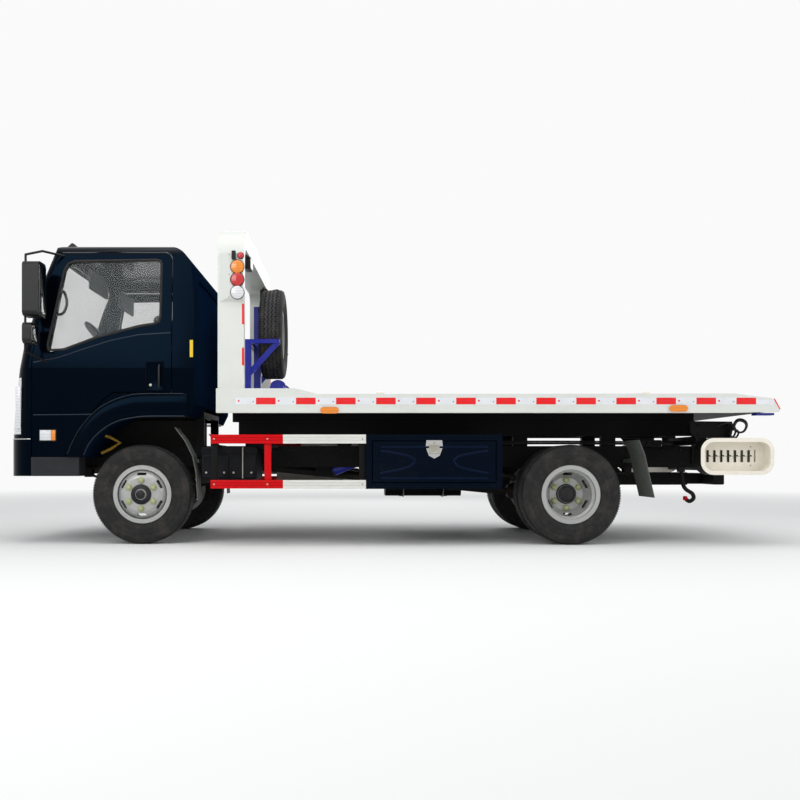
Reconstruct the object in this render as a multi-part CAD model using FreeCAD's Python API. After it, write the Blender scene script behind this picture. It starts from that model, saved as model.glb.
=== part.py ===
"""Flatbed slide-bed tow truck, cab tilted forward, bed tilting and sliding to the rear.

Millimetres. +X is forward, +Y is the truck's left, +Z is up.
The origin is on the ground under the middle of the truck.
"""
import FreeCAD, Part
import math
import os

# Whole truck
wheelbase = 3360.0
front_overhang = 1075.0
rear_overhang = 1560.0
overall_length = front_overhang + wheelbase + rear_overhang
nose_x = overall_length / 2
tail_x = -overall_length / 2
fa = nose_x - front_overhang
ra = fa - wheelbase

# Clearances between pieces
running_fit = 0.05
seat_gap = 0.3
pin_gap = 1.0
moving_gap = 7.0

# Tyres and wheels
tyre_radius = 390.0
tyre_width = 200.0
tyre_shoulder = 24.0
bead_radius = 203.0
flange_radius = 229.0
rim_width = 140.0
rim_wall = 7.0
well_depth = 20.0
wheel_offset = 110.0
disc_wall = 10.0
hub_hole_radius = 78.0
hand_hole_count = 6
hand_hole_radius = 160.0
hand_hole_length = 74.0
hand_hole_width = 20.0
front_wheel_y = 830.0
rear_outer_wheel_y = 910.0
dual_spacing = 2 * wheel_offset
rear_inner_wheel_y = rear_outer_wheel_y - dual_spacing
axle_z = tyre_radius

# Hubs and brake drums
hub_radius = 70.0
hub_cap_radius = 38.0
front_hub_nose = 42.0
rear_hub_nose = 66.0
drum_radius = 152.0
drum_wall = 12.0
spindle_radius = 30.0

# Front axle and steering
kingpin_y = 735.0
kingpin_radius = 16.0
kingpin_eye_radius = 36.0
kingpin_eye_height = 84.0
yoke_arm = 26.0
yoke_web = 24.0
beam_width = 60.0
beam_height = 74.0
beam_web = 22.0
beam_drop = 50.0
steering_arm_length = 150.0
steering_arm_width = 44.0
tie_rod_radius = 12.0
tie_rod_drop = 30.0

# Rear axle
axle_tube_radius = 62.0
banjo_radius = 165.0
banjo_half = 115.0
rear_spindle_radius = 45.0
rear_spindle_end_y = 770.0
rear_backing_y = 612.0

# Frame
frame_half_width = 375.0
rail_top_z = 780.0
rail_height = 180.0
rail_flange = 65.0
rail_wall = 7.0
frame_nose_x = fa + 890.0
frame_tail_x = tail_x + 330.0
crossmember_height = 120.0
crossmember_width = 70.0

# Leaf springs
spring_y = 400.0
spring_width = 70.0
leaf_wall = 12.0
leaf_count = 4
front_spring_half = 560.0
rear_spring_half = 600.0
spring_eye_radius = 26.0
spring_pin_radius = 12.0
spring_eye_z = 545.0
rear_spring_eye_z = 560.0

# Engine, gearbox and propshaft
engine_length = 740.0
engine_half_width = 270.0
engine_base_z = 500.0
engine_top_z = 1000.0
engine_nose_x = fa + 420.0
gearbox_length = 480.0
gearbox_half_width = 150.0
shaft_radius = 38.0
pinion_reach = 330.0

# Things hung on the frame
battery_front_x = fa - 470.0
battery_length = 430.0
battery_base_z = 505.0
battery_top_z = 752.0
battery_outer_y = 900.0
battery_inner_y = 452.0
tank_front_x = fa - 1955.0
tank_length = 705.0
tank_base_z = 330.0
tank_height = 400.0
tank_inner_y = 430.0
tank_depth = 470.0
silencer_x = fa - 1250.0
silencer_length = 620.0
silencer_radius = 95.0
silencer_y = -560.0
silencer_z = 560.0

# Side guards
guard_front_x = fa - 573.0
guard_outer_y = 1130.0
guard_depth = 28.0
guard_low_z = 441.0
guard_low_height = 65.0
guard_top_z = 854.0
guard_top_height = 69.0
guard_post_width = 53.0
guard_post_x = fa - 1008.0
bracket_z = 759.0
bracket_height = 18.0

# Toolbox
toolbox_front_x = fa - 1761.0
toolbox_length = 1043.0
toolbox_base_z = 438.0
toolbox_height = 416.0
toolbox_outer_y = 1130.0
toolbox_depth = 430.0
toolbox_wall = 5.0
toolbox_frame = 45.0
toolbox_door_wall = 22.0
toolbox_pin_radius = 5.0
toolbox_pin_edge = 8.0
toolbox_pin_length = 14.0

# Rear end
mudguard_wall = 5.0
lever_box_tail_x = tail_x + 43.0
lever_box_length = 561.0
lever_box_base_z = 545.0
lever_box_height = 282.0
lever_box_outer_y = 1140.0
lever_box_depth = 150.0
lever_box_recess = 107.0
lever_box_rim = 30.0
lever_slot_count = 8
lever_slot_pitch = 53.0
lever_slot_height = 93.0
lever_slot_width = 12.0
bumper_beam_z = 570.0
bumper_beam_height = 130.0
bumper_beam_depth = 90.0
bumper_beam_tail_x = tail_x + 60.0
tail_lamp_width = 300.0
tail_lamp_height = 90.0

# Underlift under the tail
lift_pivot_x = ra - 640.0
lift_pivot_z = 500.0
lift_boom_width = 130.0
lift_boom_height = 110.0
lift_boom_wall = 8.0
lift_boom_tail_x = tail_x + 330.0
lift_arm_tail_x = tail_x + 130.0
lift_cross_length = 760.0
hitch_hole_radius = 16.0

# Bed, tilt frame and their cylinders
bed_half_width = 1150.0
bed_front_x = fa - 618.0
bed_bottom_z = 1020.0
rail_cap_z = 1162.0
raised_cap_z = 1205.0
raised_back_x = fa - 1220.0
raised_foot_x = fa - 1395.0
tail_taper_x = tail_x + 348.0
tail_top_z = 1127.0
tail_bottom_z = 1047.0
side_rail_wall = 40.0
deck_top_z = 1140.0
deck_wall = 10.0
cross_beam_height = 50.0
cross_beam_pitch = 430.0
tilt_pivot_x = tail_x + 362.0
tilt_pivot_z = 915.0
tilt_pin_radius = 20.0
tilt_bottom_z = 865.0
tilt_height = 118.0
tilt_front_x = fa - 690.0
spacer_count = 5
slide_rod_radius = 22.0
slide_barrel_radius = 40.0
slide_cylinder_z = 1035.0
slide_stroke = 3000.0
ram_y = 200.0
ram_base_x = fa - 1440.0
ram_base_z = 560.0
ram_eye_x = fa - 2340.0
ram_eye_z = 905.0
ram_barrel_radius = 52.0
ram_rod_radius = 30.0
ram_eye_radius = 40.0

# Headboard arch
head_front_x = fa - 625.0
head_depth = 200.0
head_outer_y = bed_half_width - side_rail_wall - seat_gap
head_wall = 75.0
head_top_z = 2466.0
head_beam_height = 162.0
head_corner = 255.0
lamp_box_reach = 36.0
lamp_box_base_z = 1873.0
lamp_box_top_z = 2239.0
lamp_radius = 54.0

# Spare wheel, its carrier and the winch
spare_x = fa - 955.0
spare_z = 1768.0
column_x = fa - 812.0
column_width = 60.0
winch_x = fa - 1010.0
winch_half_width = 210.0
winch_drum_radius = 70.0
winch_z = deck_top_z + 120.0

# Cab
cab_half_width = 965.0
cab_lean = 50.0
cab_wall = 45.0
door_wall = 60.0
door_flange_wall = 30.0
door_flange_width = 40.0
cab_back_x = fa - 418.0
cab_sill_z = 683.0
cab_nose_base_z = 820.0
arch_top_z = 1003.0
arch_front_x = fa + 441.0
arch_crown_x = fa + 130.0
door_front_x = fa + 855.0
door_back_x = fa - 239.0
door_top_z = 2290.0
roof_z = 2384.0
windscreen_base_z = 1545.0
windscreen_top_z = 2285.0
windscreen_half_width = 835.0
rear_window_half_width = 625.0
rear_window_base_z = 1660.0
rear_window_top_z = 2130.0
glass_wall = 6.0
glass_depth = 14.0
flare_reach = 14.0
tunnel_half_width = 440.0
tunnel_wall = 30.0
tunnel_top_z = 1085.0
tunnel_nose_z = 840.0
tunnel_step_x = fa + 500.0
cab_pivot_x = fa + 960.0
cab_pivot_z = 640.0
cab_rest_x = fa - 372.0
rest_gap = 0.5
cab_rest_z = tunnel_top_z - rest_gap
bumper_base_z = 534.0
bumper_wall = 60.0
bumper_back_x = fa + 855.0
step_back_x = fa + 480.0
step_inner_y = 790.0
lamp_base_z = 862.0
lamp_top_z = 1305.0
lamp_inner_y = 690.0
lamp_back_x = fa + 940.0
lamp_depth = 34.0
grille_reach = 3.5
gearbox_z = 610.0
ram_foot_half = 26.0
tilt_ear_y = frame_half_width
tilt_half_width = 355.0


def vec(x, y, z):
    return FreeCAD.Vector(x, y, z)


X_AXIS = vec(1, 0, 0)
Y_AXIS = vec(0, 1, 0)
Z_AXIS = vec(0, 0, 1)


def box(x0, x1, y0, y1, z0, z1):
    """Box between two opposite corners, given in either order."""
    low = vec(min(x0, x1), min(y0, y1), min(z0, z1))
    return Part.makeBox(abs(x1 - x0), abs(y1 - y0), abs(z1 - z0), low)


def rod(start, end, radius):
    """Round bar from one point to another."""
    along = end - start
    return Part.makeCylinder(radius, along.Length, start, along)


def outline_face(points, place):
    """Face from a closed outline; place turns (a, b) into a point in space.

    A point (a, b, "arc") is the middle of an arc between its two neighbours.
    """
    edges = []
    count = len(points)
    index = 0
    while index < count:
        start = place(*points[index][:2])
        middle = points[(index + 1) % count]
        if len(middle) == 3:
            end = place(*points[(index + 2) % count][:2])
            edges.append(Part.Arc(start, place(*middle[:2]), end).toShape())
            index += 2
        else:
            edges.append(Part.LineSegment(start, place(*middle[:2])).toShape())
            index += 1
    return Part.Face(Part.Wire(edges))


def side_prism(points, y0, y1):
    """Outline in side view, (x, z), drawn out from y0 to y1."""
    face = outline_face(points, lambda a, b: vec(a, y0, b))
    return face.extrude(vec(0, y1 - y0, 0))


def plan_prism(points, z0, z1):
    """Outline seen from above, (x, y), drawn out from z0 to z1."""
    face = outline_face(points, lambda a, b: vec(a, b, z0))
    return face.extrude(vec(0, 0, z1 - z0))


def front_prism(points, x0, x1):
    """Outline in front view, (y, z), drawn out from x0 to x1."""
    face = outline_face(points, lambda a, b: vec(x0, a, b))
    return face.extrude(vec(x1 - x0, 0, 0))


def rounded(a0, a1, b0, b1, radius):
    """Outline of a rectangle with round corners."""
    cut = radius * (1 - math.sqrt(0.5))
    return [
        (a0 + radius, b0),
        (a1 - radius, b0), (a1 - cut, b0 + cut, "arc"),
        (a1, b0 + radius),
        (a1, b1 - radius), (a1 - cut, b1 - cut, "arc"),
        (a1 - radius, b1),
        (a0 + radius, b1), (a0 + cut, b1 - cut, "arc"),
        (a0, b1 - radius),
        (a0, b0 + radius), (a0 + cut, b0 + cut, "arc"),
    ]


def turned(points):
    """Solid of revolution about the Y axis from an outline of (radius, y) points."""
    face = outline_face(points, lambda a, b: vec(a, b, 0))
    return face.revolve(vec(0, 0, 0), Y_AXIS, 360)


def moved(shape, x, y, z):
    copy = shape.copy()
    copy.translate(vec(x, y, z))
    return copy


def mirrored(shape):
    """The same piece on the truck's other side."""
    return shape.mirror(vec(0, 0, 0), Y_AXIS)


def both_sides(shape):
    return [shape, mirrored(shape)]


def fuse(shapes):
    first = shapes[0]
    if len(shapes) == 1:
        return first
    return first.multiFuse(shapes[1:]).removeSplitter()


def cut(shape, tools):
    return shape.cut(Part.makeCompound(tools)) if tools else shape


def save(node, shapes):
    """Write one node; its pieces are separate solids of one compound."""
    shape = Part.makeCompound(shapes) if len(shapes) > 1 else shapes[0]
    shape.exportStep("parts/" + node + ".step")


def tyre():
    """Tyre on its own axis, +Y outboard, with round sidewalls and shoulders."""
    half = rim_width / 2
    side = tyre_width / 2
    seat = flange_radius + seat_gap
    bulge = (seat + tyre_radius) / 2
    top = tyre_radius - tyre_shoulder
    cut_in = tyre_shoulder * (1 - math.sqrt(0.5))
    outline = [
        (bead_radius, -half), (bead_radius, half), (seat, half),
        (bulge, side, "arc"), (top, side - 8),
        (tyre_radius - cut_in, side - 8 - cut_in, "arc"), (tyre_radius, side - 8 - tyre_shoulder),
        (tyre_radius, tyre_shoulder + 8 - side),
        (tyre_radius - cut_in, cut_in + 8 - side, "arc"), (top, 8 - side),
        (bulge, -side, "arc"), (seat, -half),
    ]
    return turned(outline)


def rim():
    """Drop-centre rim with its disc bulging outboard and slotted hand holes."""
    half = rim_width / 2
    lip = half + rim_wall
    well = bead_radius - well_depth
    inner = bead_radius - rim_wall
    face = wheel_offset
    outline = [
        (flange_radius, lip), (flange_radius, half), (bead_radius, half),
        (bead_radius, half - 30), (well, half - 48),
        (well, 48 - half), (bead_radius, 30 - half),
        (bead_radius, -half), (flange_radius, -half), (flange_radius, -lip),
        (inner, -lip), (inner, 30 - half), (well - rim_wall, 48 - half),
        (well - rim_wall, half - 50), (hub_hole_radius + 54, face - disc_wall),
        (hub_hole_radius, face - disc_wall), (hub_hole_radius, face),
        (hub_hole_radius + 54, face),
        (hand_hole_radius, face - 14, "arc"), (inner, half - 26),
        (inner, lip),
    ]
    solid = turned(outline)
    slot = rounded(
        -hand_hole_length / 2, hand_hole_length / 2,
        -hand_hole_width / 2, hand_hole_width / 2, hand_hole_width / 2 - 0.1,
    )
    holes = []
    for index in range(hand_hole_count):
        hole = moved(side_prism(slot, 0, face + 20), 0, 0, hand_hole_radius)
        hole.rotate(vec(0, 0, 0), Y_AXIS, 360.0 * index / hand_hole_count)
        holes.append(hole)
    return cut(solid, holes)


def front_hub():
    """Hub, closed nose and brake drum of a front wheel; y is measured from the truck's middle."""
    face = front_wheel_y + wheel_offset - disc_wall
    bore = spindle_radius + running_fit
    open_end = knuckle_web_y() + yoke_web + moving_gap
    drum_end = face - 50
    return turned([
        (bore, open_end), (hub_radius - 8, open_end),
        (hub_radius - 8, drum_end - drum_wall), (drum_radius - drum_wall, drum_end - drum_wall),
        (drum_radius - drum_wall, backing_plate_y() + moving_gap),
        (drum_radius, backing_plate_y() + moving_gap),
        (drum_radius, drum_end), (hub_hole_radius + 47, drum_end + 15),
        (hub_hole_radius + 47, face), (hub_radius, face),
        (hub_radius, face + front_hub_nose / 3), (hub_cap_radius + 6, face + front_hub_nose / 2),
        (hub_cap_radius, face + front_hub_nose - 4), (0, face + front_hub_nose),
        (0, face), (bore, face),
    ])


def knuckle_web_y():
    """Inner face of the yoke's web, clear of the beam's eye."""
    return kingpin_y + kingpin_eye_radius + moving_gap


def backing_plate_y():
    """Outer face of the backing plate, which lies against the yoke's web."""
    return knuckle_web_y() + 6


def front_wheel_shapes():
    """Tyre and rim with hub of the left front wheel, at its place."""
    face_rim = moved(rim(), 0, front_wheel_y, 0)
    wheel = fuse([face_rim, front_hub()])
    rubber = moved(tyre(), 0, front_wheel_y, 0)
    return moved(rubber, fa, 0, axle_z), moved(wheel, fa, 0, axle_z)


def rear_hub():
    """Hub and drum of the twin rear wheels, through both discs."""
    face = rear_inner_wheel_y + wheel_offset - disc_wall
    bore = rear_spindle_radius + running_fit
    drum_end = face - 50
    open_end = rear_backing_y + moving_gap
    return turned([
        (bore, open_end + 20), (hub_radius + 8, open_end + 20),
        (hub_radius + 8, drum_end - drum_wall), (drum_radius - drum_wall, drum_end - drum_wall),
        (drum_radius - drum_wall, open_end), (drum_radius, open_end),
        (drum_radius, drum_end), (hub_hole_radius + 47, drum_end + 15),
        (hub_hole_radius + 47, face), (hub_radius, face),
        (hub_radius, face + rear_hub_nose - 20), (hub_radius - 12, face + rear_hub_nose - 12),
        (hub_radius - 12, face + rear_hub_nose), (0, face + rear_hub_nose),
        (0, rear_spindle_end_y + 5), (bore, rear_spindle_end_y + 5),
    ])


def rear_wheel_shapes():
    """Two tyres and the fused pair of rims of the left rear wheels, at their place."""
    inner = moved(rim(), 0, rear_inner_wheel_y, 0)
    outer = moved(mirrored(rim()), 0, rear_outer_wheel_y, 0)
    wheels = fuse([inner, outer, rear_hub()])
    rubbers = [moved(tyre(), ra, y, axle_z) for y in (rear_inner_wheel_y, rear_outer_wheel_y)]
    return rubbers, moved(wheels, ra, 0, axle_z)


def make_wheels():
    rubber, wheel = front_wheel_shapes()
    save("tyre_front_left", [rubber])
    save("tyre_front_right", [mirrored(rubber)])
    save("rim_front_left", [wheel])
    save("rim_front_right", [mirrored(wheel)])
    rubbers, wheels = rear_wheel_shapes()
    save("tyres_rear_left", rubbers)
    save("tyres_rear_right", [mirrored(rubber) for rubber in rubbers])
    save("rims_rear_left", [wheels])
    save("rims_rear_right", [mirrored(wheels)])


def knuckle():
    """Left knuckle: fork round the beam's eye, kingpin, spindle, backing plate and arm."""
    half_eye = kingpin_eye_height / 2
    web = knuckle_web_y()
    low = axle_z - half_eye - pin_gap
    high = axle_z + half_eye + pin_gap
    pieces = [
        box(fa - 40, fa + 40, web, web + yoke_web, low - yoke_arm, high + yoke_arm),
        rod(vec(fa, kingpin_y, low - yoke_arm), vec(fa, kingpin_y, high + yoke_arm), kingpin_radius),
        rod(vec(fa, web, axle_z), vec(fa, front_wheel_y + wheel_offset - disc_wall - 5, axle_z),
            spindle_radius),
        rod(vec(fa, web, axle_z), vec(fa, backing_plate_y(), axle_z), drum_radius - 4),
    ]
    for z0 in (low - yoke_arm, high):
        pieces.append(rod(vec(fa, kingpin_y, z0), vec(fa, kingpin_y, z0 + yoke_arm), kingpin_eye_radius))
        pieces.append(box(fa - 32, fa + 32, kingpin_y, web + 5, z0, z0 + yoke_arm))
    arm_z = low - yoke_arm
    arm_x = fa - steering_arm_length
    half_arm = steering_arm_width / 2
    pieces.append(box(arm_x, fa, kingpin_y - half_arm, kingpin_y + half_arm, arm_z, low))
    pieces.append(rod(vec(arm_x, kingpin_y, arm_z), vec(arm_x, kingpin_y, low), half_arm))
    pieces.append(rod(vec(arm_x, kingpin_y, arm_z - tie_rod_drop - 3), vec(arm_x, kingpin_y, low), 10))
    return fuse(pieces)


def tie_rod():
    """Bar between the two steering arms, an eye round each arm's pin."""
    x = fa - steering_arm_length
    top = axle_z - kingpin_eye_height / 2 - pin_gap - yoke_arm - pin_gap
    eye_height = tie_rod_drop - 2
    mid_z = top - eye_height / 2
    pieces = [rod(vec(x, -kingpin_y, mid_z), vec(x, kingpin_y, mid_z), tie_rod_radius)]
    holes = []
    for y, slack in ((kingpin_y, running_fit), (-kingpin_y, pin_gap)):
        pieces.append(rod(vec(x, y, top - eye_height), vec(x, y, top), 22))
        holes.append(rod(vec(x, y, top - eye_height - 5), vec(x, y, top + 5), 10 + slack))
    return cut(fuse(pieces), holes)


def beam_outline(half_height):
    """Front view of the dropped axle beam, level at its ends and lower in the middle."""
    low = axle_z - beam_drop
    reach = kingpin_y - kingpin_eye_radius / 2
    inner = spring_y + spring_width / 2 + 35
    outer = inner + 130
    top = [(-reach, axle_z), (-outer, axle_z), (-inner, low), (inner, low), (outer, axle_z), (reach, axle_z)]
    upper = [(y, z + half_height) for y, z in top]
    lower = [(y, z - half_height) for y, z in reversed(top)]
    return upper + lower


def front_axle():
    """Forged I-section beam with an eye at each end and a pad under each spring."""
    half = beam_width / 2
    beam = front_prism(beam_outline(beam_height / 2), fa - half, fa + half)
    recess = beam_outline(beam_height / 2 - 14)
    side_cut = half - beam_web / 2
    pockets = [
        front_prism(recess, fa + half - side_cut, fa + half + 1),
        front_prism(recess, fa - half - 1, fa - half + side_cut),
    ]
    limit = box(fa - half - 2, fa + half + 2, -kingpin_y + 70, kingpin_y - 70, 0, axle_z * 2)
    pockets = [pocket.common(limit) for pocket in pockets]
    pieces = [cut(beam, pockets)]
    half_eye = kingpin_eye_height / 2
    holes = []
    for y in (kingpin_y, -kingpin_y):
        pieces.append(rod(vec(fa, y, axle_z - half_eye), vec(fa, y, axle_z + half_eye), kingpin_eye_radius))
        holes.append(rod(vec(fa, y, axle_z - 99), vec(fa, y, axle_z + 99), kingpin_radius + running_fit))
    pad_top = front_pad_z()
    for y in (spring_y, -spring_y):
        pieces.append(box(fa - 48, fa + 48, y - 40, y + 40, pad_top - 16, pad_top))
    return cut(fuse(pieces), holes)


def front_pad_z():
    return axle_z - beam_drop + beam_height / 2 + 8


def rear_pad_z():
    return axle_z + axle_tube_radius + 16


def leaf_pack(x, eye_z, pad_z, half_length):
    """One spring: curved leaves, longest on top with an eye at each end, and its clamp plate."""
    top_z = pad_z + seat_gap + leaf_count * leaf_wall
    sag = eye_z - top_z + leaf_wall / 2
    radius = (half_length ** 2 + sag ** 2) / (2 * sag)
    centre_z = top_z - leaf_wall / 2 + radius
    y0 = spring_y - spring_width / 2
    y1 = spring_y + spring_width / 2
    pieces = []
    for index in range(leaf_count):
        reach = half_length * (1 - 0.2 * index)
        inner = radius + (index - 0.5) * leaf_wall
        outer = inner + leaf_wall
        angle = math.asin(reach / radius)
        sine, cosine = math.sin(angle), math.cos(angle)
        pieces.append(side_prism([
            (x - inner * sine, centre_z - inner * cosine), (x, centre_z - inner, "arc"),
            (x + inner * sine, centre_z - inner * cosine), (x + outer * sine, centre_z - outer * cosine),
            (x, centre_z - outer, "arc"), (x - outer * sine, centre_z - outer * cosine),
        ], y0, y1))
    for side in (-1, 1):
        eye_x = x + side * half_length
        pieces.append(rod(vec(eye_x, y0, eye_z), vec(eye_x, y1, eye_z), spring_eye_radius))
    pieces.append(box(x - 60, x + 60, y0 - 8, y1 + 8, top_z - leaf_wall, top_z + 12))
    solid = fuse(pieces)
    holes = [
        rod(vec(x + side * half_length, y0 - 1, eye_z), vec(x + side * half_length, y1 + 1, eye_z),
            spring_pin_radius + seat_gap)
        for side in (-1, 1)
    ]
    return cut(solid, holes)


def make_axles():
    left = knuckle()
    save("knuckle_left", [left])
    save("knuckle_right", [mirrored(left)])
    save("tie_rod", [tie_rod()])
    save("front_axle", [front_axle()])
    save("rear_axle", [rear_axle()])
    save("propshaft", [propshaft()])
    front = leaf_pack(fa, spring_eye_z, front_pad_z(), front_spring_half)
    rear = leaf_pack(ra, rear_spring_eye_z, rear_pad_z(), rear_spring_half)
    save("leaf_springs", both_sides(front) + both_sides(rear))


def rear_axle():
    """Axle casing: tubes, round differential bowl with its nose, spring pads and spindles."""
    reach = rear_backing_y - 14
    pieces = [
        rod(vec(ra, -reach, axle_z), vec(ra, reach, axle_z), axle_tube_radius),
        rod(vec(ra - banjo_half + 25, 0, axle_z), vec(ra + banjo_half - 25, 0, axle_z), banjo_radius),
        rod(vec(ra - banjo_half, 0, axle_z), vec(ra + banjo_half, 0, axle_z), banjo_radius - 35),
    ]
    nose = Part.makeCone(banjo_radius - 45, 62, pinion_reach - banjo_half,
                         vec(ra + banjo_half, 0, axle_z), X_AXIS)
    pieces.append(nose)
    pieces.append(rod(vec(ra, -rear_spindle_end_y, axle_z), vec(ra, rear_spindle_end_y, axle_z),
                      rear_spindle_radius))
    top = rear_pad_z()
    for side in (-1, 1):
        y = side * spring_y
        pieces.append(box(ra - 55, ra + 55, y - 40, y + 40, axle_z, top))
        plate = side * rear_backing_y
        pieces.append(rod(vec(ra, plate - side * 16, axle_z), vec(ra, plate, axle_z), drum_radius - 4))
    return fuse(pieces)


def propshaft():
    """Tube from the gearbox down to the differential, with a flange at each end."""
    start = vec(engine_nose_x - engine_length - gearbox_length - seat_gap, 0, gearbox_z)
    end = vec(ra + pinion_reach + seat_gap, 0, axle_z)
    along = (end - start).normalize()
    inset = along * 60
    flange = 14
    return fuse([
        rod(start + inset, end - inset, shaft_radius),
        box(start.x - flange, start.x, -55, 55, start.z - 55, start.z + 55),
        box(end.x, end.x + flange, -50, 50, end.z - 50, end.z + 50),
        rod(start + X_AXIS * -flange, start + inset * 1.5, 28),
        rod(end + X_AXIS * flange, end - inset * 1.5, 28),
    ])


def engine_block():
    """Plain block at the engine's place with the gearbox behind it, on mounts to the frame."""
    back = engine_nose_x - engine_length
    mid_z = gearbox_z
    pieces = [
        box(back, engine_nose_x, -engine_half_width, engine_half_width, engine_base_z, engine_top_z),
        box(back - gearbox_length, back, -gearbox_half_width, gearbox_half_width,
            mid_z - gearbox_half_width, mid_z + gearbox_half_width),
    ]
    web = frame_half_width - rail_wall - seat_gap
    for x in (engine_nose_x - 160, back + 160):
        pieces.append(box(x - 40, x + 40, -web, web, rail_top_z - 90, rail_top_z - 50))
    return fuse(pieces)


def rail():
    """Left frame rail, a channel with its flanges turned inboard."""
    outer = frame_half_width
    base = rail_top_z - rail_height
    inner = outer - rail_flange
    return front_prism([
        (outer, base), (outer, rail_top_z), (inner, rail_top_z), (inner, rail_top_z - rail_wall),
        (outer - rail_wall, rail_top_z - rail_wall), (outer - rail_wall, base + rail_wall),
        (inner, base + rail_wall), (inner, base),
    ], frame_tail_x, frame_nose_x)


def spring_hanger(x, eye_z):
    """Left spring hanger: a plate under the rail, two cheeks and the eye's pin."""
    base = rail_top_z - rail_height
    y0 = spring_y - spring_width / 2 - pin_gap
    y1 = spring_y + spring_width / 2 + pin_gap
    low = eye_z - spring_eye_radius
    pieces = [
        box(x - 38, x + 38, frame_half_width - rail_flange + 5, y1 + 8, base - 10, base),
        rod(vec(x, y0 - 4, eye_z), vec(x, y1 + 4, eye_z), spring_pin_radius),
    ]
    for y in (y0 - 8, y1):
        pieces.append(box(x - 30, x + 30, y, y + 8, low, base - 5))
    return fuse(pieces)


def crossmember_places():
    """Front, gearbox, ram, middle, axle and tail crossmembers."""
    return [
        frame_nose_x - crossmember_width, fa - 1340, fa - 2200, fa - 2700,
        lift_pivot_x + 150, frame_tail_x,
    ]


def cab_pivot_bracket():
    """Ear at the rail's nose with the cab's hinge pin."""
    y = frame_half_width
    pieces = [
        side_prism([
            (frame_nose_x - 90, rail_top_z - rail_height + 10), (frame_nose_x - 90, rail_top_z - 10),
            (cab_pivot_x, cab_pivot_z + 32), (cab_pivot_x + 32, cab_pivot_z, "arc"),
            (cab_pivot_x, cab_pivot_z - 32),
        ], y - rail_wall, y + 6),
        rod(vec(cab_pivot_x, y - rail_wall, cab_pivot_z), vec(cab_pivot_x, y + 52, cab_pivot_z), 16),
    ]
    return fuse(pieces)


def cab_rest():
    """Arch behind the engine that carries the back of the cab on two pads."""
    x = cab_rest_x
    top = cab_rest_z
    y = frame_half_width
    pieces = [box(x - 35, x + 35, -y - 40, y + 40, top - 60, top - 20)]
    for side in (-1, 1):
        pieces.append(box(x - 35, x + 35, side * y, side * (y + 40), rail_top_z - 90, top - 20))
        pieces.append(rod(vec(x, side * (y + 10), top - 20), vec(x, side * (y + 10), top), 30))
    return fuse(pieces)


def tilt_hinge_ears():
    """Pair of ears on the frame's tail that hold the tilt frame's pins."""
    pieces = []
    y = tilt_ear_y
    for side in (-1, 1):
        pieces.append(side_prism([
            (tilt_pivot_x - 45, rail_top_z - 150), (tilt_pivot_x - 45, tilt_pivot_z),
            (tilt_pivot_x, tilt_pivot_z + 45, "arc"), (tilt_pivot_x + 45, tilt_pivot_z),
            (tilt_pivot_x + 45, rail_top_z - 150),
        ], side * frame_half_width, side * (y + 14)))
        pieces.append(rod(vec(tilt_pivot_x, side * (y - 40), tilt_pivot_z),
                          vec(tilt_pivot_x, side * (y + 14), tilt_pivot_z), tilt_pin_radius))
    return pieces


def chassis_frame():
    """Two rails joined by crossmembers, with the hangers, ears and rests welded on."""
    left = rail()
    pieces = both_sides(left)
    web = frame_half_width - rail_wall
    mid = rail_top_z - rail_height / 2
    for x in crossmember_places():
        pieces.append(box(x, x + crossmember_width, -web, web,
                          mid - crossmember_height / 2, mid + crossmember_height / 2))
    springs = [
        (fa + front_spring_half, spring_eye_z), (fa - front_spring_half, spring_eye_z),
        (ra + rear_spring_half, rear_spring_eye_z), (ra - rear_spring_half, rear_spring_eye_z),
    ]
    for x, z in springs:
        pieces += both_sides(spring_hanger(x, z))
    pieces += both_sides(cab_pivot_bracket())
    pieces.append(cab_rest())
    step = (tilt_front_x - 150 - tilt_pivot_x) / spacer_count
    for index in range(spacer_count):
        x = tilt_front_x - 150 - index * step
        block = box(x - 60, x + 60, frame_half_width - rail_flange, frame_half_width,
                    rail_top_z, tilt_bottom_z - rest_gap)
        pieces += both_sides(block)
    pieces += ram_brackets()
    pieces += tilt_hinge_ears()
    pieces += lift_ears()
    return fuse(pieces)


def ram_brackets():
    """Pair of cheeks and a pin on the crossmember for the foot of each ram."""
    pieces = []
    half = ram_foot_half
    x1 = fa - 1340 + 5
    cheek_outline = [
        (ram_base_x, ram_base_z - ram_eye_radius), (ram_base_x - ram_eye_radius, ram_base_z, "arc"),
        (ram_base_x, ram_base_z + ram_eye_radius), (x1, ram_base_z + 110), (x1, ram_base_z - ram_eye_radius),
    ]
    for side in (-1, 1):
        y = side * ram_y
        for cheek in (y - half - pin_gap - 10, y + half + pin_gap):
            pieces.append(side_prism(cheek_outline, cheek, cheek + 10))
        pin_start = vec(ram_base_x, y - half - 8, ram_base_z)
        pieces.append(rod(pin_start, vec(ram_base_x, y + half + 8, ram_base_z), 18))
    return pieces


def lift_ears():
    """Hangers under the frame's crossmember that hold the underlift's pin."""
    pieces = []
    y = lift_boom_width / 2 + pin_gap
    top = rail_top_z - rail_height / 2 - crossmember_height / 2
    for side in (-1, 1):
        pieces.append(side_prism([
            (lift_pivot_x + 210, top + 10), (lift_pivot_x + 50, lift_pivot_z - 30),
            (lift_pivot_x - 40, lift_pivot_z - 30), (lift_pivot_x - 40, lift_pivot_z + 30),
            (lift_pivot_x + 155, top + 100), (lift_pivot_x + 210, top + 100),
        ], side * y, side * (y + 16)))
    pieces.append(rod(vec(lift_pivot_x, -y - 10, lift_pivot_z), vec(lift_pivot_x, y + 10, lift_pivot_z), 20))
    return pieces


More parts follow.
